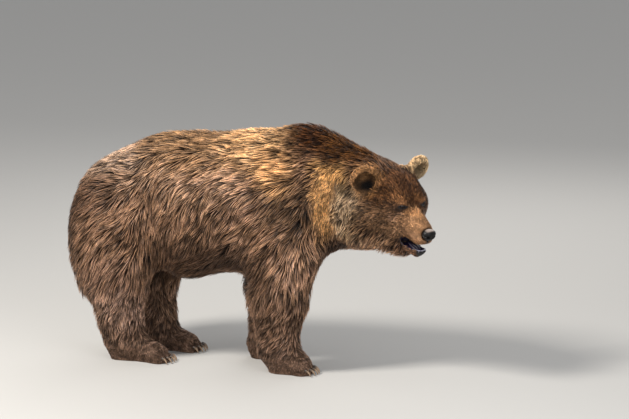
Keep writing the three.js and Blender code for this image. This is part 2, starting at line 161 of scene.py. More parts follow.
def hair_length(points):
    """The length of the coat's locks, in metres: longest on the flanks, shortest on the muzzle and lids."""
    part = parts_of(points)
    ahead, _, up = part["head"].T
    length = FLANK_HAIR + BELLY_EXTRA * ramp(points[:, 2], 0.62, 0.48)
    beside = np.abs(points) * (0, 1, 0) + points * (1, 0, 1)  # the right side's points, on the left
    length = blend(length, NECK_HAIR, near(beside, (0.47, 0.17, 0.80), (0.14, 0.14, 0.19), 0.4))
    length = blend(length, HUMP_HAIR, near(points, (0.36, 0.0, 1.08), (0.22, 0.25, 0.13), 0.5))
    length = blend(length, LEG_HAIR, part["leg"])
    length = blend(length, PAW_HAIR, part["paw"])
    crown = shortened(ahead, 0.060, (0.038, -0.24, -0.05), (0.011, -0.04, 0.03))
    cheek = shortened(ahead, 0.040, (0.016, -0.16, 0.0), (0.010, 0.0, 0.05))
    jowl = shortened(ahead, 0.066, (0.024, 0.02, 0.06), (0.026, 0.06, 0.10))
    head = blend(cheek, crown, ramp(up, -0.07, 0.02))
    head = blend(head, jowl, ramp(up, -0.13, -0.19))
    head = blend(head, MUZZLE_HAIR, ramp(ahead, 0.02, 0.06) * ramp(up, -0.20, -0.16))
    head = blend(head, LID_HAIR, ramp(from_eyes(part["head"], 0.056), 0.045, 0.018))
    return blend(blend(length, head, part["skull"]), EAR_HAIR, part["ear"])


def coat_depth(points):
    """How far the skin lies below the coat's tips."""
    return np.minimum(0.30 * hair_length(points), DEEPEST_COAT) * (1 - 0.3 * parts_of(points)["ear"])


bpy.ops.object.select_all(action="DESELECT")
for name in FLESH + ["eye_left", "eye_right"]:
    frame["nodes"][name].select_set(True)
bpy.context.view_layer.objects.active = frame["nodes"]["head"]
bpy.ops.object.duplicate()
bpy.ops.object.parent_clear(type="CLEAR_KEEP_TRANSFORM")
bpy.ops.object.join()
skin = bpy.context.object
skin.name = skin.data.name = "skin"
for key in list(skin.keys()):
    del skin[key]
bpy.ops.object.mode_set(mode="EDIT")
bpy.ops.mesh.select_all(action="SELECT")
bpy.ops.mesh.remove_doubles(threshold=0.00001)
bpy.ops.transform.shrink_fatten(value=-0.0012)
bpy.ops.object.mode_set(mode="OBJECT")
skin.data.materials.clear()


def read(rows, field, width=3, kind=float):
    """A field of all the vertices, edges or faces of a mesh, with a row for each."""
    values = np.empty(len(rows) * width, np.int32 if kind is int else np.float32)
    rows.foreach_get(field, values)
    return values.reshape(-1, width).astype(kind)


def vertices(piece):
    return read(piece.data.vertices, "co")


def normals(piece):
    return read(piece.data.vertex_normals, "vector")


def head_normals(piece):
    """The way each vertex faces, as ahead, left and up of the head."""
    return in_head(normals(piece) + HEAD_ORIGIN)


def put_vertices(piece, points):
    piece.data.vertices.foreach_set("co", points.astype(np.float32).ravel())
    piece.data.update()


remesh = skin.modifiers.new("one_skin", "REMESH")
remesh.mode = "VOXEL"
remesh.voxel_size = 0.008
bpy.ops.object.modifier_apply(modifier=remesh.name)


def smooth_skin(rounds, weight):
    """Moves each vertex towards the middle of its neighbours, by its weight."""
    points = vertices(skin)
    edges = read(skin.data.edges, "vertices", 2, int)
    first, second = edges.T
    count = np.bincount(edges.ravel(), minlength=len(points)).astype(float)[:, None]
    for _ in range(rounds):
        total = np.zeros_like(points)
        for axis in range(3):
            total[:, axis] = np.bincount(first, points[second, axis], len(points))
            total[:, axis] += np.bincount(second, points[first, axis], len(points))
        points += (total / count - points) * weight
    put_vertices(skin, points)


# The skin is smoothed, then drawn in step by step. The soles stay down on flats at the ground's level.
SHRINK_STEPS = 4
part = parts_of(vertices(skin))
fine = np.maximum.reduce([part["face"], part["ear"], part["paw"]])[:, None]
smooth_skin(6, 0.5 * (1 - 0.5 * fine))
smooth_skin(14, 0.5 * (1 - fine))
for _ in range(SHRINK_STEPS):
    points, outward = vertices(skin), normals(skin)
    sole = ramp(points[:, 2], 0.016, 0.006) * ramp(outward[:, 2], -0.4, -0.8)
    points -= outward * (coat_depth(points) * (1 - sole) / SHRINK_STEPS)[:, None]
    points[:, 2] = np.maximum(points[:, 2], 0.0)
    points[:, 2] *= 1 - (sole > 0.5)
    put_vertices(skin, points)
    smooth_skin(2, 0.5 * (1 - fine))

EAR_HOLLOW = 0.009


def about_ear(spot, at):
    """The way into an ear's hollow, and the distances from the ear's middle along it and aside of it."""
    out = unit(np.array(EAR_OUT) * (1, np.sign(at[1]), 1))
    along = spot @ out
    return out, along, np.linalg.norm(spot - along[:, None] * out, axis=1)


# The hollows of the ears are drawn in deeper, as a thin shell of ear stands behind them.
for at in EARS.values():
    out, along, aside = about_ear(in_head(vertices(skin)) - at, at)
    sunk = ramp(aside, 0.040, 0.022) * ramp(along, -0.024, -0.016) * ramp(head_normals(skin) @ out, 0.0, 0.5)
    put_vertices(skin, vertices(skin) - ((EAR_HOLLOW * sunk)[:, None] * out) @ HEAD_AXES)


def refine(wanted):
    """Splits the wanted faces of the skin in four and smooths the face again."""
    mesh = skin.data
    mesh.vertices.foreach_set("select", np.zeros(len(mesh.vertices), bool))
    mesh.edges.foreach_set("select", np.zeros(len(mesh.edges), bool))
    mesh.polygons.foreach_set("select", wanted)
    bpy.ops.object.mode_set(mode="EDIT")
    bpy.ops.mesh.subdivide(number_cuts=1, smoothness=0.0)
    bpy.ops.object.mode_set(mode="OBJECT")
    smooth_skin(3, 0.5 * near(in_head(vertices(skin)), FACE_AT, FACE_SIZE, 0.1)[:, None])


# The face and the toes take finer detail, so their faces are split once, and twice about the eyes and
# the mouth.
FEET = ("front_right", "front_left", "hind_right", "hind_left")
CLAW_BOXES = {}
for leg in FEET:
    CLAW_BOXES[leg] = np.array([[tuple(end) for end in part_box(f"claw_{leg}_{toe}")] for toe in range(1, 6)])
bpy.context.tool_settings.mesh_select_mode = (False, False, True)
face_middles = read(skin.data.polygons, "center")
wanted = near(in_head(face_middles), FACE_AT, FACE_SIZE, 0.1) > 0.5
for claws in CLAW_BOXES.values():
    foot = claws.mean((0, 1)) * (1, 1, 0)
    wanted |= near(face_middles, foot, (0.085, 0.085, 0.075), 0.1) > 0.5
refine(wanted)
spot = in_head(read(skin.data.polygons, "center"))
wanted = (near(spot, (0.080, 0, -0.155), (0.110, 0.075, 0.065), 0.1) > 0.5) & (spot[:, 0] > 0)
refine(wanted | (from_eyes(spot, 0.058) < 0.036))

# Grooves part the toes, from between the claws back over the front of each foot.
TOE_GROOVE_DEPTH, TOE_GROOVE_WIDTH = 0.008, 0.0055
for claws in CLAW_BOXES.values():
    roots = np.stack([claws[:, 0, 0], claws[:, :, 1].mean(1)], axis=1)
    for front, gap in (roots[1:] + roots[:-1]) / 2:
        points = vertices(skin)
        groove = np.exp(-(((points[:, 1] - gap) / TOE_GROOVE_WIDTH) ** 2)) * ramp(points[:, 2], 0.003, 0.010)
        groove *= ramp(points[:, 0], front - 0.060, front - 0.010) * (points[:, 0] < front + 0.06)
        groove *= ramp(points[:, 2], 0.090, 0.060)
        put_vertices(skin, points - normals(skin) * (TOE_GROOVE_DEPTH * groove)[:, None])

# The lower lip stands up round the floor of the mouth as a low rim, and the chin is full below it.
spot = in_head(vertices(skin))
upward = head_normals(skin)[:, 2] * 0.5 + 0.5
edge = np.hypot((spot[:, 0] - 0.030) / 0.100, spot[:, 1] / 0.037)
jaw = ramp(spot[:, 2], -0.158, -0.168) * ramp(spot[:, 0], 0.005, 0.035)
lip_height = 0.004 + 0.012 * ramp(spot[:, 0], 0.05, 0.11)
fullness = 0.010 * ramp(spot[:, 0], 0.02, 0.05) * ramp(edge, 1.10, 0.60)
spot[:, 2] += jaw * (lip_height * ramp(edge, 0.70, 0.95) * (0.3 + 0.7 * upward) - fullness * (1 - upward))
put_vertices(skin, from_head(spot))


def about_eye(spot, side):
    """Distances from an eye's middle towards its outer corner, up, and out along its axis, and that axis."""
    out = unit(np.array(EYE_OUT) * (1, side, 1))
    across = unit(np.cross([0, 0, 1.0], out) * side)
    upward = np.cross(out, across) * side
    away = spot - np.array(EYE_AT) * (1, side, 1)
    return away @ across, away @ upward, away @ out, out


# Each eye looks ahead and outwards through a narrow almond between two lids. The brow overhangs it.
SOCKET_FLOOR = 0.0040
SLIT_LENGTH, SLIT_HEIGHT = 0.0150, 0.0036
# Each fold: how far above the slit it lies, its height, its length, and how proud it stands.
LID_FOLDS = (
    (0.0150, 0.0055, 0.020, 0.0045),  # brow fold
    (-0.0100, 0.0030, 0.016, 0.0015),  # bag below
    (0.0095, 0.0022, 0.016, -0.0018),  # crease above the lid
)
for side in (-1, 1):
    spot = in_head(vertices(skin))
    a, b, c, out = about_eye(spot, side)
    b = b + 0.12 * a  # the outer corner sits a little lower
    slit = np.hypot(a / SLIT_LENGTH, b / (SLIT_HEIGHT * np.where(b > 0, 0.9, 1.0)))
    slit = slit + 0.10 * np.clip(-a / 0.012, 0, 2)  # the inner corner is drawn to a point
    ball = np.sqrt(EYE_RADIUS**2 - np.minimum(a**2 + b**2, (0.97 * EYE_RADIUS) ** 2))
    lid = np.maximum(ball, 0.0045) + 0.0011 + 0.0014 * np.exp(-(((slit - 1.22) / 0.25) ** 2))
    rise = blend(SOCKET_FLOOR, lid, ramp(slit, 0.86, 1.06))
    for above, tall, wide, proud in LID_FOLDS:
        rise = rise + proud * np.exp(-(((b - above) / tall) ** 2) - (a / wide) ** 2)
    here = (np.hypot(a, b) < 0.06) & (c > -0.012)
    share = ramp(np.hypot(a / 0.026, b / 0.019), 1.30, 0.70) * here
    put_vertices(skin, from_head(spot + ((rise - c) * share)[:, None] * out))
bpy.ops.object.shade_smooth()

# The coat's colours by place: a dark hump, a golden saddle behind it and over the neck's side, a greyer
# cheek, a tan muzzle, and darker legs and belly. Skin and locks read them from one node group.
marks = bpy.data.node_groups.new("bear_markings", "ShaderNodeTree")
marks.interface.new_socket("Place", in_out="INPUT", socket_type="NodeSocketVector")
marks.interface.new_socket("Colour", in_out="OUTPUT", socket_type="NodeSocketColor")


def plug(tree, socket, value):
    """Links a socket to another node's output, or sets it to a plain value."""
    if isinstance(value, bpy.types.NodeSocket):
        tree.links.new(value, socket)
    else:
        socket.default_value = value


def add_node(tree, kind, settings=(), **inputs):
    """Adds a node, sets its properties, and plugs its inputs: by name, with _ for a space, or as i0, i1."""
    node = tree.nodes.new(kind)
    for key, value in dict(settings).items():
        setattr(node, key, value)
    for key, value in inputs.items():
        by_number = key[0] == "i" and key[1:].isdigit()
        plug(tree, node.inputs[int(key[1:]) if by_number else key.replace("_", " ")], value)
    return node


def mix_colour(tree, share, first, second, how="MIX"):
    node = add_node(tree, "ShaderNodeMix", {"data_type": "RGBA", "blend_type": how})
    plug(tree, node.inputs[0], share)
    for socket, value in ((node.inputs[6], first), (node.inputs[7], second)):
        plug(tree, socket, (*value, 1) if isinstance(value, tuple) else value)
    return node.outputs[2]


def times(tree, first, second):
    return mix_colour(tree, 1.0, first, second, "MULTIPLY")


def spread(tree, value, low, high, to_low=0.0, to_high=1.0, kind="SMOOTHSTEP"):
    """Turns a value from low to high into one from to_low to to_high, and holds it there."""
    return add_node(
        tree, "ShaderNodeMapRange", {"interpolation_type": kind, "clamp": True},
        Value=value, From_Min=low, From_Max=high, To_Min=to_low, To_Max=to_high,
    ).outputs[0]


def vectors(tree, operation, **inputs):
    return add_node(tree, "ShaderNodeVectorMath", {"operation": operation}, **inputs).outputs


def noise(tree, at, scale, detail, rough=0.5):
    inputs = {"Vector": at, "Scale": scale, "Detail": detail, "Roughness": rough}
    return add_node(tree, "ShaderNodeTexNoise", **inputs).outputs


# The place wanders a little, so that no mark has an even edge.
WANDER = 0.09
place_in = add_node(marks, "NodeGroupInput").outputs[0]
wander = vectors(marks, "SUBTRACT", i0=noise(marks, place_in, 7.0, 2.0)["Color"], i1=(0.5, 0.5, 0.5))[0]
wander = vectors(marks, "SCALE", i0=wander, Scale=WANDER)[0]
place = vectors(marks, "ADD", i0=place_in, i1=wander)[0]

BASE_COAT, LEG_COAT, PAW_COAT = (0.270, 0.157, 0.098), (0.240, 0.145, 0.097), (0.200, 0.124, 0.088)
# Each mark: its middle, its radii, its colour and its strength. The right side's are mirrored to the left.
BODY_MARKS = [
    ((-0.17, -0.25, 0.50), (0.33, 0.22, 0.15), (0.062, 0.034, 0.021), 0.85),  # belly and lower flank
    # The insides of the legs are darkened as painted shade between them.
    ((-0.15, 0.00, 0.38), (0.66, 0.10, 0.20), (0.060, 0.034, 0.022), 0.85),  # insides of the legs
    ((-0.58, -0.22, 0.27), (0.13, 0.12, 0.12), (0.380, 0.245, 0.185), 0.80),  # hind shank
    ((-0.62, -0.25, 0.45), (0.14, 0.12, 0.08), (0.300, 0.182, 0.128), 0.72),  # back of the thigh
    ((0.29, -0.24, 0.52), (0.11, 0.10, 0.11), (0.500, 0.305, 0.205), 0.78),  # forearm
    ((0.04, -0.27, 0.80), (0.12, 0.10, 0.10), (0.360, 0.215, 0.145), 0.60),  # behind the elbow
    ((-0.20, -0.20, 0.88), (0.35, 0.20, 0.13), (0.410, 0.250, 0.160), 0.75),  # upper flank
    ((-0.62, 0.00, 0.92), (0.22, 0.26, 0.12), (0.420, 0.290, 0.210), 0.85),  # top of the rump
    ((-0.74, -0.15, 0.76), (0.16, 0.16, 0.12), (0.150, 0.082, 0.050), 0.80),  # hip
    ((-0.84, 0.00, 0.66), (0.12, 0.28, 0.22), (0.075, 0.040, 0.024), 0.85),  # rear
    ((-0.22, 0.00, 1.02), (0.34, 0.30, 0.15), (0.265, 0.150, 0.072), 0.78),  # back
    ((0.085, 0.00, 1.05), (0.185, 0.30, 0.16), (0.640, 0.380, 0.190), 0.97),  # golden saddle
    ((0.21, -0.22, 0.94), (0.10, 0.12, 0.12), (0.570, 0.315, 0.142), 0.86),  # behind the shoulder
    ((0.22, -0.25, 0.79), (0.09, 0.10, 0.08), (0.132, 0.078, 0.046), 0.78),  # shoulder blade
    ((0.33, 0.00, 1.10), (0.18, 0.25, 0.16), (0.050, 0.015, 0.002), 0.98),  # dark hump
    ((0.53, -0.04, 1.02), (0.17, 0.20, 0.10), (0.080, 0.030, 0.006), 0.94),  # top of the neck
    ((0.47, -0.20, 0.80), (0.10, 0.12, 0.20), (0.400, 0.235, 0.118), 0.78),  # side of the neck
    ((0.52, -0.20, 0.78), (0.09, 0.12, 0.14), (0.530, 0.380, 0.245), 0.87),  # grizzled, behind the cheek
    ((0.49, -0.20, 0.90), (0.05, 0.08, 0.07), (0.190, 0.130, 0.065), 0.75),  # behind the ear
    ((0.382, -0.20, 0.81), (0.054, 0.13, 0.19), (0.570, 0.315, 0.130), 0.92),  # gold before the shoulder
    ((0.43, -0.18, 0.94), (0.09, 0.10, 0.05), (0.470, 0.250, 0.090), 0.85),  # gold under the hump
    ((0.290, -0.22, 0.80), (0.045, 0.10, 0.17), (0.140, 0.080, 0.045), 0.65),  # edge of the shoulder
    ((0.40, 0.00, 0.58), (0.20, 0.20, 0.07), (0.070, 0.038, 0.022), 0.80),  # under the neck
]
HEAD_MARKS = [
    ((-0.10, 0.00, 0.03), (0.24, 0.19, 0.12), (0.085, 0.034, 0.012), 0.94),  # forehead and crown
    ((-0.07, -0.11, -0.13), (0.14, 0.09, 0.12), (0.160, 0.087, 0.044), 0.82),  # cheek
    ((-0.09, -0.095, -0.215), (0.090, 0.055, 0.050), (0.440, 0.262, 0.158), 0.86),  # below the cheek
    ((-0.09, -0.115, 0.00), (0.080, 0.05, 0.055), (0.046, 0.018, 0.005), 0.80),  # temple
    # The pale patch below the eye is a painted highlight, the glint of the wet lower lid.
    ((0.012, -0.066, -0.055), (0.045, 0.030, 0.035), (0.210, 0.120, 0.075), 0.70),  # pale below the eye
    ((-0.01, -0.050, 0.026), (0.050, 0.045, 0.016), (0.250, 0.112, 0.042), 0.56),  # brow
    ((0.080, 0.00, -0.060), (0.110, 0.075, 0.068), (0.400, 0.215, 0.105), 0.95),  # muzzle
    ((0.040, 0.00, -0.008), (0.060, 0.034, 0.034), (0.640, 0.335, 0.155), 0.92),  # bridge
    ((0.090, -0.042, -0.128), (0.080, 0.030, 0.026), (0.250, 0.122, 0.055), 0.75),  # upper lip
    ((0.060, 0.00, -0.212), (0.110, 0.080, 0.034), (0.230, 0.115, 0.065), 0.80),  # lower jaw
    ((-0.08, 0.00, -0.285), (0.200, 0.13, 0.045), (0.560, 0.330, 0.200), 0.80),  # throat
    ((0.000, -0.060, -0.005), (0.030, 0.024, 0.012), (0.040, 0.022, 0.014), 0.85),  # about the eye
]


def both_sides(side_marks):
    """The marks with those off the middle line mirrored."""
    return [((x, y * side, z), *rest) for (x, y, z), *rest in side_marks for side in ((1, -1) if y else (1,))]


MARKS = both_sides(BODY_MARKS)
MARKS += [(tuple(from_head(np.array(at))), *rest) for at, *rest in both_sides(HEAD_MARKS)]
# Each ear has a lighter edge about a dark hollow, of dark skin deepened with painted shade.
# The left one is painted paler, as painted light, down to its foot.
HOLLOW_SKIN_AND_SHADE = (0.004, 0.002, 0.001)
# The left ear, down to its foot, is painted paler and its hollow less dark: painted light on that ear.
PAINTED_LIT_EAR_FOOT = ((-0.222, 0.095, 0.070), (0.050, 0.040, 0.050), (0.56, 0.36, 0.20), 0.75)
for name, shade, dark in (("ear_right", (0.38, 0.190, 0.075), 1.0), ("ear_left", (0.92, 0.66, 0.38), 0.45)):
    out = np.array(EAR_OUT) * (1, np.sign(EARS[name][1]), 1)
    MARKS.append((tuple(from_head(np.array(EARS[name]))), (0.088, 0.088, 0.088), shade, 0.88))
    if name == "ear_left":
        MARKS.append((tuple(from_head(PAINTED_LIT_EAR_FOOT[0])), *PAINTED_LIT_EAR_FOOT[1:]))
    # Two dark marks in each hollow: its dark skin, and painted shade in the recess.
    for drop, wide in ((0.008, 0.046), (0.026, 0.048)):
        at = EARS[name] + out * 0.010 - np.array((0, 0, drop))
        MARKS.append((tuple(from_head(at)), (wide, wide, wide), HOLLOW_SKIN_AND_SHADE, dark))
height = add_node(marks, "ShaderNodeSeparateXYZ", Vector=place).outputs[2]
colour = mix_colour(marks, spread(marks, height, 0.52, 0.34, 0.0, 0.80), BASE_COAT, LEG_COAT)
colour = mix_colour(marks, spread(marks, height, 0.18, 0.08, 0.0, 0.80), colour, PAW_COAT)
for centre, radii, shade, strength in MARKS:
    away = vectors(marks, "SUBTRACT", i0=place, i1=centre)[0]
    away = vectors(marks, "DIVIDE", i0=away, i1=radii)[0]
    away = vectors(marks, "LENGTH", i0=away)["Value"]
    colour = mix_colour(marks, spread(marks, away, 0.55, 1.30, strength, 0.0), colour, shade)
# Over all, patches the size of a hand run a little lighter, darker or greyer.
patchy = spread(marks, noise(marks, place_in, 16.0, 2.0, 0.6)["Fac"], 0.35, 0.65)
patchy = mix_colour(marks, patchy, (0.68, 0.65, 0.62), (1.25, 1.25, 1.25))
add_node(marks, "NodeGroupOutput", Colour=times(marks, colour, patchy))


def new_material(name):
    material = bpy.data.materials.new(name)
    material.use_nodes = True
    return material, material.node_tree


def object_place(tree):
    return add_node(tree, "ShaderNodeTexCoord").outputs["Object"]


def stored(tree, name, output="Fac"):
    """The values that a piece carries under a name."""
    return add_node(tree, "ShaderNodeAttribute", {"attribute_name": name}).outputs[output]


def store(piece, name, values):
    """Gives each vertex of a piece its value, or its vector, under a name."""
    values = np.asarray(values, np.float32)
    kind, field = ("FLOAT", "value") if values.ndim == 1 else ("FLOAT_VECTOR", "vector")
    piece.data.attributes.new(name, kind, "POINT").data.foreach_set(field, values.ravel())


def relief(tree, height, strength, deep, sunk=False):
    """A bump by height, or the other way round where high values lie sunk."""
    bump = add_node(tree, "ShaderNodeBump", {"invert": sunk}, Height=height, Strength=strength, Distance=deep)
    return bump.outputs[0]


def finish_surface(tree, **inputs):
    """Plugs the inputs of a material's surface, by name, with _ for a space."""
    for key, value in inputs.items():
        plug(tree, tree.nodes["Principled BSDF"].inputs[key.replace("_", " ")], value)


# Under the coat the hide shows the same colours, darker, as dense underfur and as painted shade under the
# locks. Bare skin is black at the lids and lips, the mouth's lining is dark and wet and darkened further
# with painted shade, and a painted glint runs along the lower lip.
hide, tree = new_material("hide")
place = object_place(tree)
coat_colour = add_node(tree, "ShaderNodeGroup", {"node_tree": marks}, Place=place).outputs[0]
fuzz = noise(tree, place, 420.0, 3.0, 0.7)["Fac"]
# The hide is darkened as dense underfur and as painted shade in the depth of the coat.
under = mix_colour(tree, spread(tree, fuzz, 0.35, 0.7), (0.42, 0.40, 0.38), (1.0, 0.98, 0.95))
under = times(tree, coat_colour, under)
mouth, bare = stored(tree, "mouth"), stored(tree, "bare")
under = mix_colour(tree, bare, under, (0.008, 0.007, 0.008))
# The mouth's lining is painted near black: its dark wet skin, with painted shade inside the mouth.
under = mix_colour(tree, mouth, under, (0.020, 0.013, 0.042))
# A pale lavender line on the lower lip's edge is a painted highlight, the glint of its wet rim.
under = mix_colour(tree, stored(tree, "painted_lip_glint"), under, (0.260, 0.250, 0.330))
wet = add_node(tree, "ShaderNodeMath", {"operation": "MAXIMUM"}, i0=bare, i1=mouth).outputs[0]
wet = spread(tree, wet, 0.0, 1.0, 0.85, 0.36, "LINEAR")
grain = relief(tree, fuzz, 0.5, 0.0012)
finish_surface(tree, Base_Color=under, Roughness=wet, Specular_IOR_Level=0.25, Normal=grain)
skin.data.materials.append(hide)

# The parts of the skin that are bare are found by their place and by whether they face into the mouth.
spot = in_head(vertices(skin))
inward = dot(head_normals(skin), unit(np.array((0.060, 0, -0.158)) - spot))
mouth_zone = near(spot, (0.072, 0, -0.162), (0.086, 0.062, 0.040), 0.12)
mouth_mask = mouth_zone * ramp(inward, 0.30, 0.50)
lips = mouth_zone * ramp(inward, -0.70, -0.30)
nose_rim = near(spot, NOSE_AT, (0.0265, 0.0335, 0.0290), 0.08)
cleft = near(spot, (0.148, 0, -0.106), (0.020, 0.0045, 0.018), 0.5)
lids = np.zeros(len(spot))
for side in (-1, 1):
    a, b, c, _ = about_eye(spot, side)
    rim = np.hypot((a + 0.002) / 0.0230, (b + 0.0012 + 0.12 * a) / 0.0095)
    lids = np.maximum(lids, ramp(rim, 1.15, 0.85) * (c > -0.002))
# The lower lip's rim, which takes the painted highlight.
painted_lip_glint = lips * ramp(inward, 0.42, 0.20) * ramp(inward, -0.30, -0.05) * ramp(spot[:, 2], -0.152, -0.160)
painted_lip_glint = painted_lip_glint * ramp(spot[:, 0], 0.02, 0.05)
chin_tip = ramp(spot[:, 0], 0.104, 0.114) * ramp(spot[:, 2], -0.145, -0.155)
bare_mask = np.maximum.reduce([lips, chin_tip, nose_rim, cleft, lids])
for name, mask in (("mouth", mouth_mask), ("bare", bare_mask), ("painted_lip_glint", painted_lip_glint)):
    store(skin, name, mask)
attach(skin, "root")
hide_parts(*FLESH)

# ------------------------------------------------------------------ coat
# The hair stands in wet locks that lie along the body, each a thin tapered strand with a ridge along its
# back. They are laid by combing strokes that run as the hair grows, and every lock is a closed solid.

# A stroke is a place on the right side and the way the hair runs there. The left side mirrors it.
BODY_STROKES = [
    # rump, its swirl at the hip, and thigh
    ((-0.83, -0.06, 0.72), (-0.15, 0.0, -1.0)),
    ((-0.78, -0.08, 0.86), (-0.75, 0.0, -0.7)),
    ((-0.60, -0.08, 0.98), (-1.0, -0.1, -0.1)),
    ((-0.60, -0.20, 0.90), (-1.0, -0.1, 0.12)),
    ((-0.70, -0.19, 0.83), (-0.9, 0.0, -0.35)),
    ((-0.44, -0.23, 0.86), (-0.25, 0.0, -1.0)),
    ((-0.43, -0.26, 0.70), (-0.12, 0.0, -1.0)),
    ((-0.58, -0.25, 0.74), (-0.65, 0.0, -0.75)),
    ((-0.72, -0.20, 0.62), (-0.60, 0.0, -0.8)),
    ((-0.60, -0.24, 0.52), (-0.50, 0.0, -0.85)),
    ((-0.45, -0.24, 0.50), (-0.15, 0.0, -1.0)),
    ((-0.58, -0.20, 0.32), (-0.35, 0.0, -0.95)),
    ((-0.55, -0.06, 0.35), (-0.2, 0.0, -1.0)),
    ((-0.55, -0.17, 0.14), (-0.1, 0.0, -1.0)),
    # back and flank
    ((-0.40, -0.08, 1.03), (-1.0, -0.20, 0.0)),
    ((-0.15, -0.08, 1.04), (-1.0, -0.20, 0.0)),
    ((0.10, -0.08, 1.06), (-1.0, -0.20, -0.1)),
    ((-0.25, -0.21, 0.92), (-0.80, 0.0, -0.60)),
    ((0.00, -0.22, 0.92), (-0.92, 0.0, -0.40)),
    ((0.20, -0.20, 0.94), (-0.95, 0.0, -0.30)),
    ((-0.30, -0.27, 0.76), (-0.42, 0.0, -0.90)),
    ((-0.10, -0.28, 0.76), (-0.58, 0.0, -0.80)),
    ((0.12, -0.27, 0.76), (-0.62, 0.0, -0.78)),
    ((-0.25, -0.26, 0.56), (-0.48, 0.0, -0.88)),
    ((0.00, -0.27, 0.56), (-0.55, 0.0, -0.84)),
    ((0.15, -0.26, 0.54), (-0.55, 0.0, -0.84)),
    ((-0.20, -0.10, 0.42), (-0.9, 0.1, -0.2)),
    ((0.08, -0.10, 0.42), (-0.9, 0.1, -0.2)),
    # hump, shoulder and foreleg
    ((0.27, -0.06, 1.11), (-1.0, -0.25, 0.0)),
    ((0.42, -0.06, 1.04), (-1.0, -0.25, 0.2)),
    ((0.34, -0.16, 0.96), (-0.9, 0.0, -0.35)),
    ((0.32, -0.21, 0.82), (-0.72, 0.0, -0.70)),
    ((0.25, -0.24, 0.72), (-0.74, 0.0, -0.70)),
    ((0.41, -0.17, 0.72), (-0.10, 0.0, -1.0)),
    ((0.22, -0.25, 0.58), (-0.55, 0.0, -0.85)),
    ((0.18, -0.24, 0.46), (-0.50, 0.0, -0.87)),
    ((0.28, -0.24, 0.54), (-0.10, 0.0, -1.0)),
    ((0.35, -0.21, 0.58), (0.55, 0.0, -0.84)),
    ((0.34, -0.20, 0.47), (0.50, 0.0, -0.87)),
    ((0.32, -0.18, 0.36), (0.25, 0.0, -0.97)),
    ((0.40, -0.05, 0.52), (0.10, 0.0, -1.0)),
    ((0.26, -0.22, 0.40), (-0.15, 0.0, -1.0)),
    ((0.17, -0.20, 0.30), (-0.55, 0.0, -0.84)),
    ((0.25, -0.19, 0.24), (-0.10, 0.0, -1.0)),
    ((0.20, -0.19, 0.13), (-0.60, 0.0, -0.80)),
    ((0.22, -0.07, 0.40), (-0.2, 0.0, -1.0)),
    # neck and breast
    ((0.52, -0.05, 0.98), (-1.0, -0.2, 0.2)),
    ((0.52, -0.15, 0.88), (-0.55, 0.0, -0.85)),
    ((0.39, -0.19, 0.78), (-0.10, 0.0, -1.0)),
    ((0.41, -0.18, 0.88), (-0.30, 0.0, -1.0)),
    ((0.45, -0.18, 0.84), (-0.10, 0.0, -1.0)),
    ((0.50, -0.18, 0.80), (-0.05, 0.0, -1.0)),
    ((0.50, -0.13, 0.70), (-0.25, 0.0, -1.0)),
    ((0.52, -0.03, 0.62), (-0.5, 0.0, -0.85)),
    # paws, over the wrists to the toes
    ((0.33, -0.14, 0.06), (1.0, 0.0, -0.35)),
    ((0.15, -0.14, 0.04), (-0.3, 0.0, -0.9)),
    ((-0.38, -0.14, 0.06), (1.0, 0.0, -0.35)),
    ((-0.62, -0.14, 0.05), (-0.4, 0.0, -0.9)),
]
HEAD_STROKES = [
    ((0.165, -0.02, -0.11), (-0.4, -0.6, -0.7)),
    ((0.150, 0.00, -0.03), (-1.0, 0.0, 0.2)),
    ((0.080, 0.00, -0.01), (-1.0, 0.0, 0.2)),
    ((0.110, -0.05, -0.07), (-1.0, 0.0, -0.35)),
    ((0.110, -0.04, -0.12), (-0.8, 0.0, -0.7)),
    ((0.040, -0.06, -0.08), (-1.0, 0.0, -0.35)),
    ((0.010, -0.02, 0.03), (-0.9, -0.2, 0.5)),
    ((0.010, -0.06, 0.03), (-0.8, -0.5, 0.3)),
    ((-0.070, 0.00, 0.10), (-1.0, -0.1, 0.1)),
    ((-0.180, -0.04, 0.10), (-1.0, -0.1, -0.2)),
    ((-0.080, -0.11, 0.03), (-1.0, -0.2, -0.1)),
    ((-0.030, -0.08, -0.05), (-1.0, -0.2, -0.3)),
    ((0.010, -0.08, -0.12), (-0.8, -0.1, -0.6)),
    ((-0.080, -0.13, -0.10), (-0.8, 0.0, -0.7)),
    ((-0.060, -0.11, -0.20), (-0.6, 0.0, -0.8)),
    ((-0.160, -0.14, -0.15), (-0.6, 0.0, -0.8)),
    ((0.020, -0.03, -0.23), (-0.5, 0.0, -1.0)),
    ((-0.030, -0.03, -0.25), (-0.6, 0.0, -0.8)),
    ((0.100, -0.02, -0.19), (-1.0, 0.0, -0.3)),
]
rng = np.random.default_rng(12)

strokes = []
for side in (1, -1):
    mirror = np.array((1, side, 1))
    strokes += [(at * mirror, way * mirror) for at, way in BODY_STROKES]
    strokes += [(from_head(at * mirror), way * mirror @ HEAD_AXES) for at, way in HEAD_STROKES]
stroke_at = np.array([at for at, _ in strokes])
stroke_way = unit(np.array([way for _, way in strokes]))


def ripple(points, length, seed):
    """A smooth wandering value of about -1 to 1 that changes over the given length."""
    waves = np.random.default_rng(seed)
    total = np.zeros(len(points))
    for _ in range(7):
        way = unit(waves.normal(size=3)) * waves.uniform(0.7, 1.5)
        total += np.sin(points @ way * 2 * math.pi / length + waves.uniform(0, 2 * math.pi))
    return total / 2.6


SWINGS = ((0.24, 0.11, 3), (0.22, 0.045, 4))  # how far the hair turns aside, over what length, and a seed
AT_ONCE = 4000  # points, to spare the memory


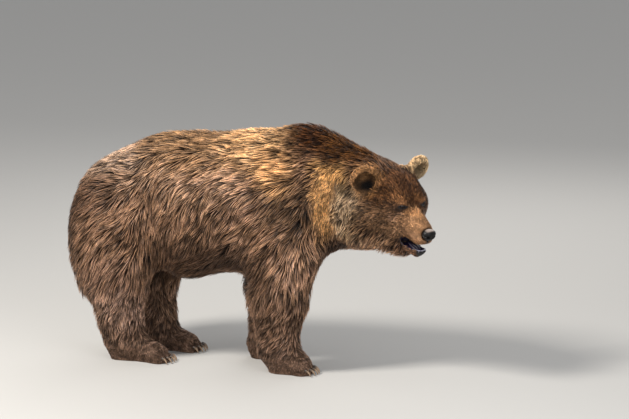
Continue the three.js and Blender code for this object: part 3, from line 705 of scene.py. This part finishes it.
def lie(points, facing):
    """The way the hair runs at each point: as the nearest strokes say, and on an ear, out from its foot."""
    total = np.zeros_like(points)
    for start in range(0, len(points), AT_ONCE):
        some = slice(start, start + AT_ONCE)
        gap = ((points[some, None] - stroke_at[None]) ** 2).sum(2)
        weight = 1 / (gap + 0.0012) ** 2
        total[some] = weight @ stroke_way / weight.sum(1)[:, None]
    ear = parts_of(points)["ear"]
    for at in EARS.values():
        foot = from_head(np.array(at) - (0, 0, 0.050))
        away = np.linalg.norm(points - foot, axis=1)
        mine = (ear * (away < 0.15) * ramp(away, 0.010, 0.030))[:, None]
        total = unit(total) * (1 - mine) + unit(points - foot) * mine
    total = unit(total - facing * dot(total, facing)[:, None])
    swing = sum(far * ripple(points, length, seed) for far, length, seed in SWINGS)
    aside = np.cross(facing, total)
    return unit(total * np.cos(swing)[:, None] + aside * np.sin(swing)[:, None])


skin.data.calc_loop_triangles()
triangles = read(skin.data.loop_triangles, "vertices", 3, int)
skin_points, skin_normals = vertices(skin), normals(skin)
skin_tree = BVHTree.FromPolygons(skin_points.tolist(), triangles.tolist())
corners = skin_points[triangles]
face_area = np.linalg.norm(np.cross(corners[:, 1] - corners[:, 0], corners[:, 2] - corners[:, 0]), axis=1) / 2

# The bake map: the skin's own shape, thinned and unwrapped, gives each root its place.
MAP_FACES = 7000
bpy.ops.object.select_all(action="DESELECT")
skin.select_set(True)
bpy.context.view_layer.objects.active = skin
bpy.ops.object.duplicate()
flat = bpy.context.object
for key in list(flat.keys()):
    del flat[key]
thin = flat.modifiers.new("thin", "DECIMATE")
thin.ratio = MAP_FACES / len(triangles)
thin.use_collapse_triangulate = True
bpy.ops.object.modifier_apply(modifier=thin.name)
bpy.ops.object.mode_set(mode="EDIT")
bpy.ops.mesh.select_all(action="SELECT")
bpy.ops.mesh.quads_convert_to_tris()
bpy.ops.uv.smart_project(angle_limit=math.radians(70), island_margin=0.004)
bpy.ops.object.mode_set(mode="OBJECT")
flat_points, flat_faces = vertices(flat), read(flat.data.polygons, "vertices", 3, int)
flat_map = read(flat.data.uv_layers.active.data, "uv", 2).reshape(-1, 3, 2)
flat_tree = BVHTree.FromPolygons(flat_points.tolist(), flat_faces.tolist())
bpy.data.objects.remove(flat)


def map_place(points):
    """Where points of the skin lie on its unwrapped map."""
    face = np.array([flat_tree.find_nearest(p)[2] for p in points.tolist()])
    a, b, c = (flat_points[flat_faces[face, k]] for k in range(3))
    across = np.cross(b - a, c - a)
    size = np.maximum((across**2).sum(1), 1e-18)
    second = dot(np.cross(points - a, c - a), across) / size
    third = dot(np.cross(b - a, points - a), across) / size
    share = np.clip(np.stack([1 - second - third, second, third], 1), 0, 1)
    share /= share.sum(1, keepdims=True)
    return (flat_map[face] * share[:, :, None]).sum(1)


def cell_of(points, size):
    """A number for the cell of a grid that each point lies in."""
    return np.floor(points / size).astype(np.int64) @ (1, 4001, 16008001)


DARTS = 5  # for each lock


def sow(count, allowed):
    """Roots spread evenly over the skin: thrown like darts, and kept one to a cell of a fine grid."""
    weight = face_area * allowed
    throws = count * DARTS
    face = rng.choice(len(face_area), throws, p=weight / weight.sum())
    first, second = np.sqrt(rng.random(throws)), rng.random(throws)
    share = np.stack([1 - first, first * (1 - second), first * second], 1)
    points = (corners[face] * share[:, :, None]).sum(1)
    facing = unit((skin_normals[triangles[face]] * share[:, :, None]).sum(1))
    low, high = 0.001, 0.05
    for _ in range(18):
        size = (low + high) / 2
        _, keep = np.unique(cell_of(points, size), return_index=True)
        low, high = (size, high) if len(keep) > count else (low, size)
    keep = rng.permutation(keep)[:count]
    return points[keep], facing[keep]


ROOT_DEPTH = 0.0025


def comb(points, facing, length, lift, steps):
    """Runs each lock from its root along the skin, rising to its lift, and gives its spine at each step."""
    way = lie(points, facing)
    turn = rng.normal(0, 0.10, len(points))[:, None]
    way = unit(way + np.cross(facing, way) * turn)
    shares = np.linspace(0, 1, steps)
    foot, spine, up = points.copy(), [], []
    for step, share in enumerate(shares):
        if step:
            foot = foot + way * (length / (steps - 1))[:, None]
            hits = [skin_tree.find_nearest(p) for p in foot.tolist()]
            foot = np.array([h[0] for h in hits])
            raw = np.array([h[1] for h in hits])
            facing = unit(facing * 0.5 + raw)
            fresh = lie(foot, facing) if step < steps - 1 else way
            way = unit(way * 0.6 + fresh * 0.4)
            way = unit(way - facing * dot(way, facing)[:, None])
        rise = -ROOT_DEPTH + (lift + ROOT_DEPTH) * share**0.8
        spine.append(foot + facing * rise[:, None])
        up.append(facing)
    return np.stack(spine, 1), np.stack(up, 1)


def gather(spine, spacing, pull):
    """Draws the tips of neighbouring locks together into points, as wet hair does."""
    tree = KDTree(len(spine))
    _, leaders = np.unique(cell_of(spine[:, 0], spacing), return_index=True)
    for k in leaders.tolist():
        tree.insert(spine[k, 0], k)
    tree.balance()
    mine = np.array([tree.find(p)[1] for p in spine[:, 0].tolist()])
    share = np.linspace(0, 1, spine.shape[1])[None, :, None] ** 1.6
    towards = spine[mine] - spine
    near_enough = (np.linalg.norm(towards[:, -1], axis=1) < spacing * 2.2)[:, None, None]
    drawn = spine + towards * share * near_enough * (pull * rng.uniform(0.4, 1.0, len(spine)))[:, None, None]
    return drawn, rng.random(len(spine))[mine]


def lock_faces(rings):
    """One lock's faces, as numbers of its points: those along its sides, and those of its tip and root."""
    quads = []
    for ring in range(rings - 1):
        for k in range(3):
            a, b = ring * 3 + k, ring * 3 + (k + 1) % 3
            quads.append((a, b, b + 3, a + 3))
    last = (rings - 1) * 3
    tips = [(last + k, last + (k + 1) % 3, last + 3) for k in range(3)]
    return quads, tips + [(2, 1, 0)]


PLUMPNESS = 0.75  # the height of a lock's ridge to half its width
LOCK_PATCH = 0.0014  # half the side of a lock's place on the bake map


def lock_mesh(name, root, spine, up, width, shade):
    """One mesh of many locks. Each is a row of three-cornered rings closed at the root and the tip."""
    count, steps = spine.shape[:2]
    rings = steps - 1
    along = unit(np.gradient(spine, axis=1))
    aside = unit(np.cross(along, up))
    top = np.cross(aside, along)
    roll = rng.normal(0, 0.35, count)[:, None, None]
    aside, top = aside * np.cos(roll) + top * np.sin(roll), top * np.cos(roll) - aside * np.sin(roll)
    shares = np.linspace(0, 1, steps)
    swell = (np.minimum(0.75 + shares, 1.0) * (1 - shares**1.7))[None, :, None]
    half = width[:, None, None] * swell / 2
    left = spine - aside * half
    right = spine + aside * half
    ridge = spine + top * half * PLUMPNESS
    body = np.stack([left, ridge, right], 2)[:, :rings].reshape(count, rings * 3, 3)
    points = np.concatenate([body, spine[:, -1:]], 1)
    per = rings * 3 + 1
    quads, tips = lock_faces(rings)
    start = (np.arange(count) * per)[:, None, None]
    loops = np.concatenate([(start + np.array(faces)[None]).reshape(count, -1) for faces in (quads, tips)], 1)
    sizes = np.tile(np.array([4] * len(quads) + [3] * len(tips)), count)
    mesh = bpy.data.meshes.new(name)
    mesh.vertices.add(count * per)
    mesh.vertices.foreach_set("co", points.astype(np.float32).ravel())
    mesh.loops.add(loops.size)
    mesh.loops.foreach_set("vertex_index", loops.astype(np.int32).ravel())
    mesh.polygons.add(len(sizes))
    mesh.polygons.foreach_set("loop_start", np.concatenate([[0], np.cumsum(sizes)[:-1]]).astype(np.int32))
    mesh.polygons.foreach_set("use_smooth", np.ones(len(sizes), bool))
    piece = bpy.data.objects.new(name, mesh)
    bpy.context.collection.objects.link(piece)
    across = np.tile(np.array([-1.0, 0.0, 1.0]), rings)
    across = np.tile(np.append(across, 0.0), (count, 1))
    share = np.tile(np.append(np.repeat(shares[:rings], 3), 1.0), (count, 1))
    lock = np.stack([across, share, np.broadcast_to(shade[:, None], share.shape)], 2)
    store(piece, "root", np.repeat(root, per, axis=0))
    store(piece, "lock", lock)
    patch = np.stack([across, share * 2 - 1], 2) * LOCK_PATCH
    patch = (patch + map_place(root)[:, None]).reshape(-1, 2)
    uv = mesh.uv_layers.new(name="OFBake")
    uv.data.foreach_set("uv", patch[loops.ravel()].astype(np.float32).ravel())
    mesh.update()
    return piece


def in_hollow(points, facing):
    """How far inside the hollow of an ear each point lies, from 0 to 1."""
    inside = np.zeros(len(points))
    for at in EARS.values():
        out, along, aside = about_ear(in_head(points) - at + (0, 0, 0.010), at)
        here = ramp(aside, 0.044, 0.034) * (np.abs(along) < 0.05) * ramp(facing @ HEAD_AXES.T @ out, 0.0, 0.3)
        inside = np.maximum(inside, here)
    return inside


LONG_LOCKS, SHORT_LOCKS = ((59000, 50000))
SHORT_HAIR = 0.034
THINNER_IN_EARS = 0.6
THIN_LOCK, THICK_LOCK, WIDTH_TO_LENGTH = 0.0011, 0.0061, 0.062
OFF_THE_GROUND = 0.0015
centre = corners.mean(1)
face_bare = np.maximum(bare_mask, mouth_mask)[triangles].mean(1)
covered = (face_bare < 0.5) & (centre[:, 2] > 0.010)
covered = covered * (1 - THINNER_IN_EARS * in_hollow(centre, skin_normals[triangles].mean(1)))
length_here = hair_length(centre)
long_here = covered * (length_here > SHORT_HAIR) * (0.075 / length_here) ** 1.2
short_here = covered * (length_here <= SHORT_HAIR) * (0.02 / length_here) ** 1.6
# Each batch: its name, how many locks, where they stand, their steps, the spacing of the points they are
# drawn into and how far, and the number of pieces.
batches = (
    ("coat", LONG_LOCKS, long_here, 4, 0.018, 0.70, 6),
    ("short_coat", SHORT_LOCKS, short_here, 3, 0.009, 0.5, 3),
)
coat = []
for name, count, allowed, steps, spacing, pull, pieces in batches:
    root, facing = sow(count, allowed)
    length = hair_length(root) * rng.uniform(0.75, 1.15, len(root))
    length = length * (1 - THINNER_IN_EARS * in_hollow(root, facing))
    lift = coat_depth(root) * rng.uniform(0.50, 1.20, len(root))
    # The hair stands off more below the chin and down the backs of the legs.
    beard = near(in_head(root), (-0.020, 0, -0.240), (0.085, 0.060, 0.040), 0.6)
    fringe = ramp(root[:, 2], 0.12, 0.25) * ramp(root[:, 2], 0.62, 0.50) * ramp(facing[:, 0], -0.45, -0.8)
    lift = lift * (1 + 0.80 * beard + 0.6 * fringe)
    spine, up = comb(root, facing, length, lift, steps)
    spine, clump = gather(spine, spacing, pull)
    spine[:, :, 2] = np.maximum(spine[:, :, 2], OFF_THE_GROUND)
    width = np.minimum(THIN_LOCK + WIDTH_TO_LENGTH * length, THICK_LOCK) * rng.uniform(0.7, 1.25, len(root))
    shade = np.clip(0.5 + 1.5 * (0.55 * clump + 0.45 * rng.random(len(root)) - 0.5), 0, 1)
    for k in range(pieces):
        some = slice(k, None, pieces)
        coat.append(lock_mesh(f"{name}_{k + 1}", root[some], spine[some], up[some], width[some], shade[some]))

# The locks take the markings of their roots. They are darker at the root and lighter at the tip, their own
# colour with painted shade in the gaps and a painted highlight on the tips, and every lock differs a little
# from its neighbours and shows fine hairs along it.
DARK_ROOT_AND_SHADE, LIGHT_TIP_AND_HIGHLIGHT = (0.105, 0.080, 0.062), (2.75, 2.80, 2.84)
# Some locks run greyer and bluer: grey hair, with a painted reflection of the sky on wet hair.
PLAIN, ROSY, ASHY_AND_GLINT = (1.0, 1.0, 1.0), (1.02, 0.98, 0.84), (0.95, 1.04, 1.20)
hair, tree = new_material("hair")
across, share, chance = add_node(tree, "ShaderNodeSeparateXYZ", Vector=stored(tree, "lock", "Vector")).outputs
root_place = stored(tree, "root", "Vector")
locked = add_node(tree, "ShaderNodeGroup", {"node_tree": marks}, Place=root_place).outputs[0]
other = add_node(tree, "ShaderNodeTexWhiteNoise", {"noise_dimensions": "1D"}, W=chance).outputs["Color"]
redness, greyness, _ = add_node(tree, "ShaderNodeSeparateXYZ", Vector=other).outputs
tint = spread(tree, chance, 0.0, 1.0, 0.31, 1.82)
tint = add_node(tree, "ShaderNodeCombineXYZ", i0=tint, i1=tint, i2=tint).outputs[0]
rosy = mix_colour(tree, spread(tree, redness, 0.3, 1.0), PLAIN, ROSY)
# The greyer, bluer locks carry a painted reflection of the sky on wet hair.
ashy_and_glint = mix_colour(tree, spread(tree, greyness, 0.55, 1.0), PLAIN, ASHY_AND_GLINT)
# Dark roots and light tips: the hair's own colour, with painted shade between locks and painted highlight.
root_shade_tip_highlight = mix_colour(tree, spread(tree, share, 0.30, 1.0, kind="LINEAR"), DARK_ROOT_AND_SHADE, LIGHT_TIP_AND_HIGHLIGHT)
streak = add_node(tree, "ShaderNodeCombineXYZ", i0=across, i1=share, i2=chance).outputs[0]
streak = vectors(tree, "MULTIPLY", i0=streak, i1=(2.2, 1.2, 400.0))[0]
streak = noise(tree, streak, 1.0, 1.0)["Fac"]
strand = mix_colour(tree, spread(tree, streak, 0.38, 0.62), (0.62, 0.60, 0.58), (1.12, 1.12, 1.12))
# A lock's edges are darker than its ridge: painted shade of its rounding and of the gaps between locks.
edge = add_node(tree, "ShaderNodeMath", {"operation": "ABSOLUTE"}, i0=across).outputs[0]
edge = mix_colour(tree, spread(tree, edge, 0.1, 0.95), (1.15, 1.15, 1.15), (0.40, 0.37, 0.35))
for change in (tint, rosy, ashy_and_glint, root_shade_tip_highlight, strand, edge):
    locked = times(tree, locked, change)
fine_hairs = relief(tree, streak, 0.6, 0.0008)
finish_surface(tree, Base_Color=locked, Roughness=0.37, Specular_IOR_Level=0.22, Normal=fine_hairs)
for piece in coat:
    piece.data.materials.append(hair)
    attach(piece, "root")

# ------------------------------------------------------------------ eyes
# A glass-like brown eye in each socket: a clear wet surface over a dark iris and a round pupil.
PUPIL_RADIUS, IRIS_RADIUS = 0.0030, 0.0058
PUPIL_SHADE, IRIS_SHADE, RIM_SHADE = (0.004, 0.003, 0.003), (0.030, 0.013, 0.006), (0.010, 0.006, 0.005)
for side, name in ((-1, "eye_right"), (1, "eye_left")):
    bpy.ops.mesh.primitive_uv_sphere_add(segments=48, ring_count=32, radius=EYE_RADIUS)
    eye = bpy.context.object
    eye.name = eye.data.name = name + "_ball"
    out = unit(np.array(EYE_OUT) * (1, side, 1))
    points = vertices(eye)
    front = unit(points) @ (0, 0, 1.0)
    points *= (1 + 0.07 * ramp(front, 0.80, 0.93))[:, None]  # the cornea stands out a little
    turned = Vector(out @ HEAD_AXES).to_track_quat("Z", "Y").to_matrix()
    # In front, each point carries its distance from the middle of the pupil. Behind, it carries 1.
    store(eye, "gaze", np.hypot(points[:, 0], points[:, 1]) * (front > 0) + (front <= 0))
    put_vertices(eye, points @ np.array(turned).T + from_head(np.array(EYE_AT) * (1, side, 1)))
    bpy.ops.object.shade_smooth()
    iris, tree = new_material(name)
    ring = stored(tree, "gaze")
    brown = mix_colour(tree, spread(tree, ring, PUPIL_RADIUS, 0.0034), PUPIL_SHADE, IRIS_SHADE)
    brown = mix_colour(tree, spread(tree, ring, IRIS_RADIUS, 0.0070), brown, RIM_SHADE)
    finish_surface(tree, Base_Color=brown, Roughness=0.09, Specular_IOR_Level=0.14)
    eye.data.materials.append(iris)
    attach(eye, "root")
    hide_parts(name)

# ------------------------------------------------------------------ nose
# The nose pad is bare, black, wet leather at the end of the muzzle. Two comma-shaped nostrils open to the
# front and run out to its sides, and a groove runs down its middle.
NOSE_HALVES = (0.0235, 0.0300, 0.0265)
NOSTRIL_AT, NOSTRIL_HALVES, NOSTRIL_DEPTH = (0.0150, -0.0020), (0.0074, 0.0066), 0.0105
TAIL_AT, TAIL_HALVES, TAIL_FALL = (0.0240, 0.0030), (0.0100, 0.0030), 0.35
GROOVE_WIDTH, GROOVE_DEPTH = 0.0013, 0.0024
WING_HEIGHT = 0.0012
bpy.ops.mesh.primitive_uv_sphere_add(segments=96, ring_count=72, radius=1)
nose = bpy.context.object
nose.name = nose.data.name = "nose_pad"
way = unit(vertices(nose))
ahead, left, up = way.T
form = np.stack([np.sign(k) * np.abs(k) ** p for k, p in ((ahead, 0.88), (left, 0.92), (up, 0.86))], 1)
form = form / np.maximum(np.linalg.norm(form, axis=1), 1)[:, None] ** 0.4
points = form * NOSE_HALVES
points[:, 1] *= 1 + 0.10 * ramp(up, -0.5, 0.4) - 0.10 * ramp(up, -0.2, -0.9)
points[:, 0] += 0.0030 * ramp(up, -0.2, 0.7) * (ahead > 0)
aside, high = np.abs(points[:, 1]), points[:, 2]
hole = np.hypot((aside - NOSTRIL_AT[0]) / NOSTRIL_HALVES[0], (high - NOSTRIL_AT[1]) / NOSTRIL_HALVES[1])
beyond = aside - TAIL_AT[0]
tail = np.hypot(beyond / TAIL_HALVES[0], (high - TAIL_AT[1] + TAIL_FALL * beyond) / TAIL_HALVES[1])
nostril = np.maximum(ramp(hole, 1.10, 0.72), 0.75 * ramp(tail, 1.15, 0.7))
points -= form * (NOSTRIL_DEPTH * nostril * (ahead > -0.25))[:, None]
groove = np.exp(-((points[:, 1] / GROOVE_WIDTH) ** 2)) * (ahead > 0) * ramp(up, 0.55, 0.1)
points[:, 0] -= GROOVE_DEPTH * groove
wing = np.exp(-(((hole - 1.35) / 0.30) ** 2)) * (ahead > 0)
points += way * (WING_HEIGHT * wing)[:, None]
# The top of the pad is painted pale grey: a painted highlight on its wet top.
store(nose, "painted_top_glint", ramp(up, 0.66, 1.00) * ramp(ahead, 0.60, 0.15))
put_vertices(nose, from_head(points + NOSE_AT))
bpy.ops.object.shade_smooth()
leather, tree = new_material("nose_leather")
pebble = add_node(tree, "ShaderNodeTexVoronoi", Vector=object_place(tree), Scale=520.0).outputs["Distance"]
tone = mix_colour(tree, spread(tree, pebble, 0.1, 0.6), (0.003, 0.003, 0.003), (0.009, 0.008, 0.008))
# The pale grey of the pad's top is a painted highlight.
tone = mix_colour(tree, stored(tree, "painted_top_glint"), tone, (0.360, 0.290, 0.250))
rough = spread(tree, pebble, 0.0, 0.7, 0.42, 0.30)
grain = relief(tree, pebble, 0.6, 0.0006, sunk=True)
finish_surface(tree, Base_Color=tone, Roughness=rough, Specular_IOR_Level=0.20, Normal=grain)
nose.data.materials.append(leather)
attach(nose, "root")
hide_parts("nose")

# ------------------------------------------------------------------ tongue
# The tongue lies on the floor of the mouth, wet and dark with painted shade, hollowed along its middle.
TONGUE_AT, TONGUE_HALVES = (0.064, 0, -0.1745), (0.045, 0.0185, 0.0075)
HOLLOW_DEPTH, HOLLOW_WIDTH = 0.0030, 0.006
bpy.ops.mesh.primitive_uv_sphere_add(segments=48, ring_count=32, radius=1)
tongue = bpy.context.object
tongue.name = tongue.data.name = "tongue_body"
points = vertices(tongue) * TONGUE_HALVES
points[:, 2] -= HOLLOW_DEPTH * np.exp(-((points[:, 1] / HOLLOW_WIDTH) ** 2)) * (points[:, 2] > 0)
points[:, 2] += 0.006 * ramp(points[:, 0], 0.0, -TONGUE_HALVES[0]) - 1.5 * (points[:, 0] - 0.01) ** 2
put_vertices(tongue, from_head(points + TONGUE_AT))
bpy.ops.object.shade_smooth()
wet, tree = new_material("wet_tongue")
buds = noise(tree, object_place(tree), 700.0, 1.0)["Fac"]
# Near black: the tongue's dark colour, with painted shade inside the mouth.
tone = mix_colour(tree, spread(tree, buds, 0.35, 0.65), (0.012, 0.009, 0.018), (0.022, 0.016, 0.030))
grain = relief(tree, buds, 0.4, 0.0004)
finish_surface(tree, Base_Color=tone, Roughness=0.36, Specular_IOR_Level=0.22, Normal=grain)
tongue.data.materials.append(wet)
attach(tongue, "root")
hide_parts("tongue")

# ------------------------------------------------------------------ claws
# Five long curved claws on each foot, of horn, deeper than they are wide. Each is dark at its root and
# worn pale at its blunt tip, and grows out of the toe's fur.
HORN_ROOT, HORN_TIP, HORN_LINES = (0.040, 0.026, 0.018), (0.340, 0.225, 0.140), (0.10, 0.07, 0.05)
horn, tree = new_material("claw_horn")
lines = vectors(tree, "MULTIPLY", i0=object_place(tree), i1=(60.0, 900.0, 900.0))[0]
lines = noise(tree, lines, 1.0, 2.0)["Fac"]
tone = mix_colour(tree, spread(tree, stored(tree, "worn"), 0.10, 0.60), HORN_ROOT, HORN_TIP)
tone = mix_colour(tree, spread(tree, lines, 0.4, 0.7, 0.0, 0.45), tone, HORN_LINES)
finish_surface(tree, Base_Color=tone, Roughness=0.38)
SECTIONS, CLAW_SIDES = 12, 14
ROOT_HEIGHT, TIP_HEIGHT, ROOT_IN_TOE, SPLAY = 0.0255, 0.0022, 0.010, 0.001
CLAW_HALF_WIDTH, CLAW_ABOVE, CLAW_BELOW, CLAW_TAPER = 0.0044, 0.0072, 0.0055, 0.62
CLAW_BEND = Vector((0.006, 0, 0.0145))
for leg in FEET:
    points, faces, wear = [], [], []
    for toe in range(1, 6):
        low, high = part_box(f"claw_{leg}_{toe}")
        centre_line = (low.y + high.y) / 2
        splay = SPLAY * (toe - 3) * (1 if "left" in leg else -1)
        root = Vector((low.x - ROOT_IN_TOE, centre_line, ROOT_HEIGHT))
        tip = Vector((high.x, centre_line + splay, TIP_HEIGHT))
        bend = root.lerp(tip, 0.55) + CLAW_BEND
        start = len(points)
        for k in range(SECTIONS):
            share = k / (SECTIONS - 1)
            at = root.lerp(bend, share).lerp(bend.lerp(tip, share), share)
            ahead = (bend.lerp(tip, share) - root.lerp(bend, share)).normalized()
            sideways = ahead.cross(Vector((0, 0, 1))).normalized()
            above = sideways.cross(ahead)
            blunt_end = math.sqrt(max(1 - (max(share - 0.86, 0) / 0.14) ** 2, 0.05))
            size = (1 - CLAW_TAPER * share) * blunt_end
            for j in range(CLAW_SIDES):
                turn = 2 * math.pi * j / CLAW_SIDES
                deep = CLAW_ABOVE if math.sin(turn) > 0 else CLAW_BELOW
                across = sideways * math.cos(turn) * CLAW_HALF_WIDTH * size
                points.append(at + across + above * math.sin(turn) * deep * size)
                wear.append(share)
            if k:
                ring = start + (k - 1) * CLAW_SIDES
                for j in range(CLAW_SIDES):
                    a, b = ring + j, ring + (j + 1) % CLAW_SIDES
                    faces.append((b, a, a + CLAW_SIDES, b + CLAW_SIDES))
        faces.append(tuple(start + j for j in range(CLAW_SIDES)))
        faces.append(tuple(start + (SECTIONS - 1) * CLAW_SIDES + j for j in reversed(range(CLAW_SIDES))))
    mesh = bpy.data.meshes.new(f"claws_{leg}")
    mesh.from_pydata(points, [], faces)
    mesh.validate()
    claws = bpy.data.objects.new(mesh.name, mesh)
    bpy.context.collection.objects.link(claws)
    store(claws, "worn", wear)
    bpy.ops.object.select_all(action="DESELECT")
    claws.select_set(True)
    bpy.context.view_layer.objects.active = claws
    bpy.ops.object.shade_smooth()
    bpy.ops.object.mode_set(mode="EDIT")
    bpy.ops.mesh.select_all(action="SELECT")
    bpy.ops.mesh.normals_make_consistent(inside=False)
    bpy.ops.object.mode_set(mode="OBJECT")
    claws.data.materials.append(horn)
    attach(claws, "root")
    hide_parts(*[f"claw_{leg}_{toe}" for toe in range(1, 6)])

# ------------------------------------------------------------------ stage
# A plain pale floor and backdrop, soft light from above and the left, and the camera.
FLOOR_SIZE, FLOOR_SHADE = 60, (0.55, 0.535, 0.51, 1)
SKY_SHADE, SKY_STRENGTH = (0.95, 0.97, 1.0, 1), 0.48
bpy.ops.mesh.primitive_plane_add(size=FLOOR_SIZE, location=(0, 0, 0))
floor = bpy.context.object
floor.name = "floor"
paint, tree = new_material("floor_paint")
finish_surface(tree, Base_Color=FLOOR_SHADE, Roughness=0.9)
floor.data.materials.append(paint)

world = bpy.data.worlds.new("soft_light")
bpy.context.scene.world = world
world.use_nodes = True
sky = world.node_tree.nodes["Background"]
sky.inputs["Color"].default_value = SKY_SHADE
sky.inputs["Strength"].default_value = SKY_STRENGTH

LIT_SPOT = Vector((0, 0, 0.6))
for name, at, size, power, tint in (
    ("key", (-2.4, -3.6, 4.9), 1.5, 430, (1.0, 0.965, 0.91)),
    ("fill", (3.6, -3.4, 2.4), 3.5, 90, (0.93, 0.96, 1.0)),
    ("rim", (-0.5, 4.4, 3.4), 3.0, 60, (1.0, 0.98, 0.95)),
):
    lamp = bpy.data.lights.new(name, "AREA")
    lamp.size = size
    lamp.energy = power
    lamp.color = tint
    lamp_object = bpy.data.objects.new(name, lamp)
    bpy.context.collection.objects.link(lamp_object)
    lamp_object.location = at
    lamp_object.rotation_euler = (LIT_SPOT - Vector(at)).to_track_quat("-Z", "Y").to_euler()

turn, rise, distance = math.radians(22), math.radians(10), 18.0
VIEW_WIDTH = 2.846  # metres across the picture, at the bear
SENSOR = 36
look = Vector((-math.sin(turn) * math.cos(rise), math.cos(turn) * math.cos(rise), -math.sin(rise)))
aim = Vector((0.1729, 0.2400, 0.6775))
camera = bpy.data.objects.new("camera", bpy.data.cameras.new("camera"))
bpy.context.collection.objects.link(camera)
camera.location = aim - look * distance
camera.rotation_euler = look.to_track_quat("-Z", "Y").to_euler()
camera.data.sensor_width = SENSOR
camera.data.lens = SENSOR * distance / VIEW_WIDTH
bpy.context.scene.camera = camera
bpy.context.scene.view_settings.view_transform = "Standard"
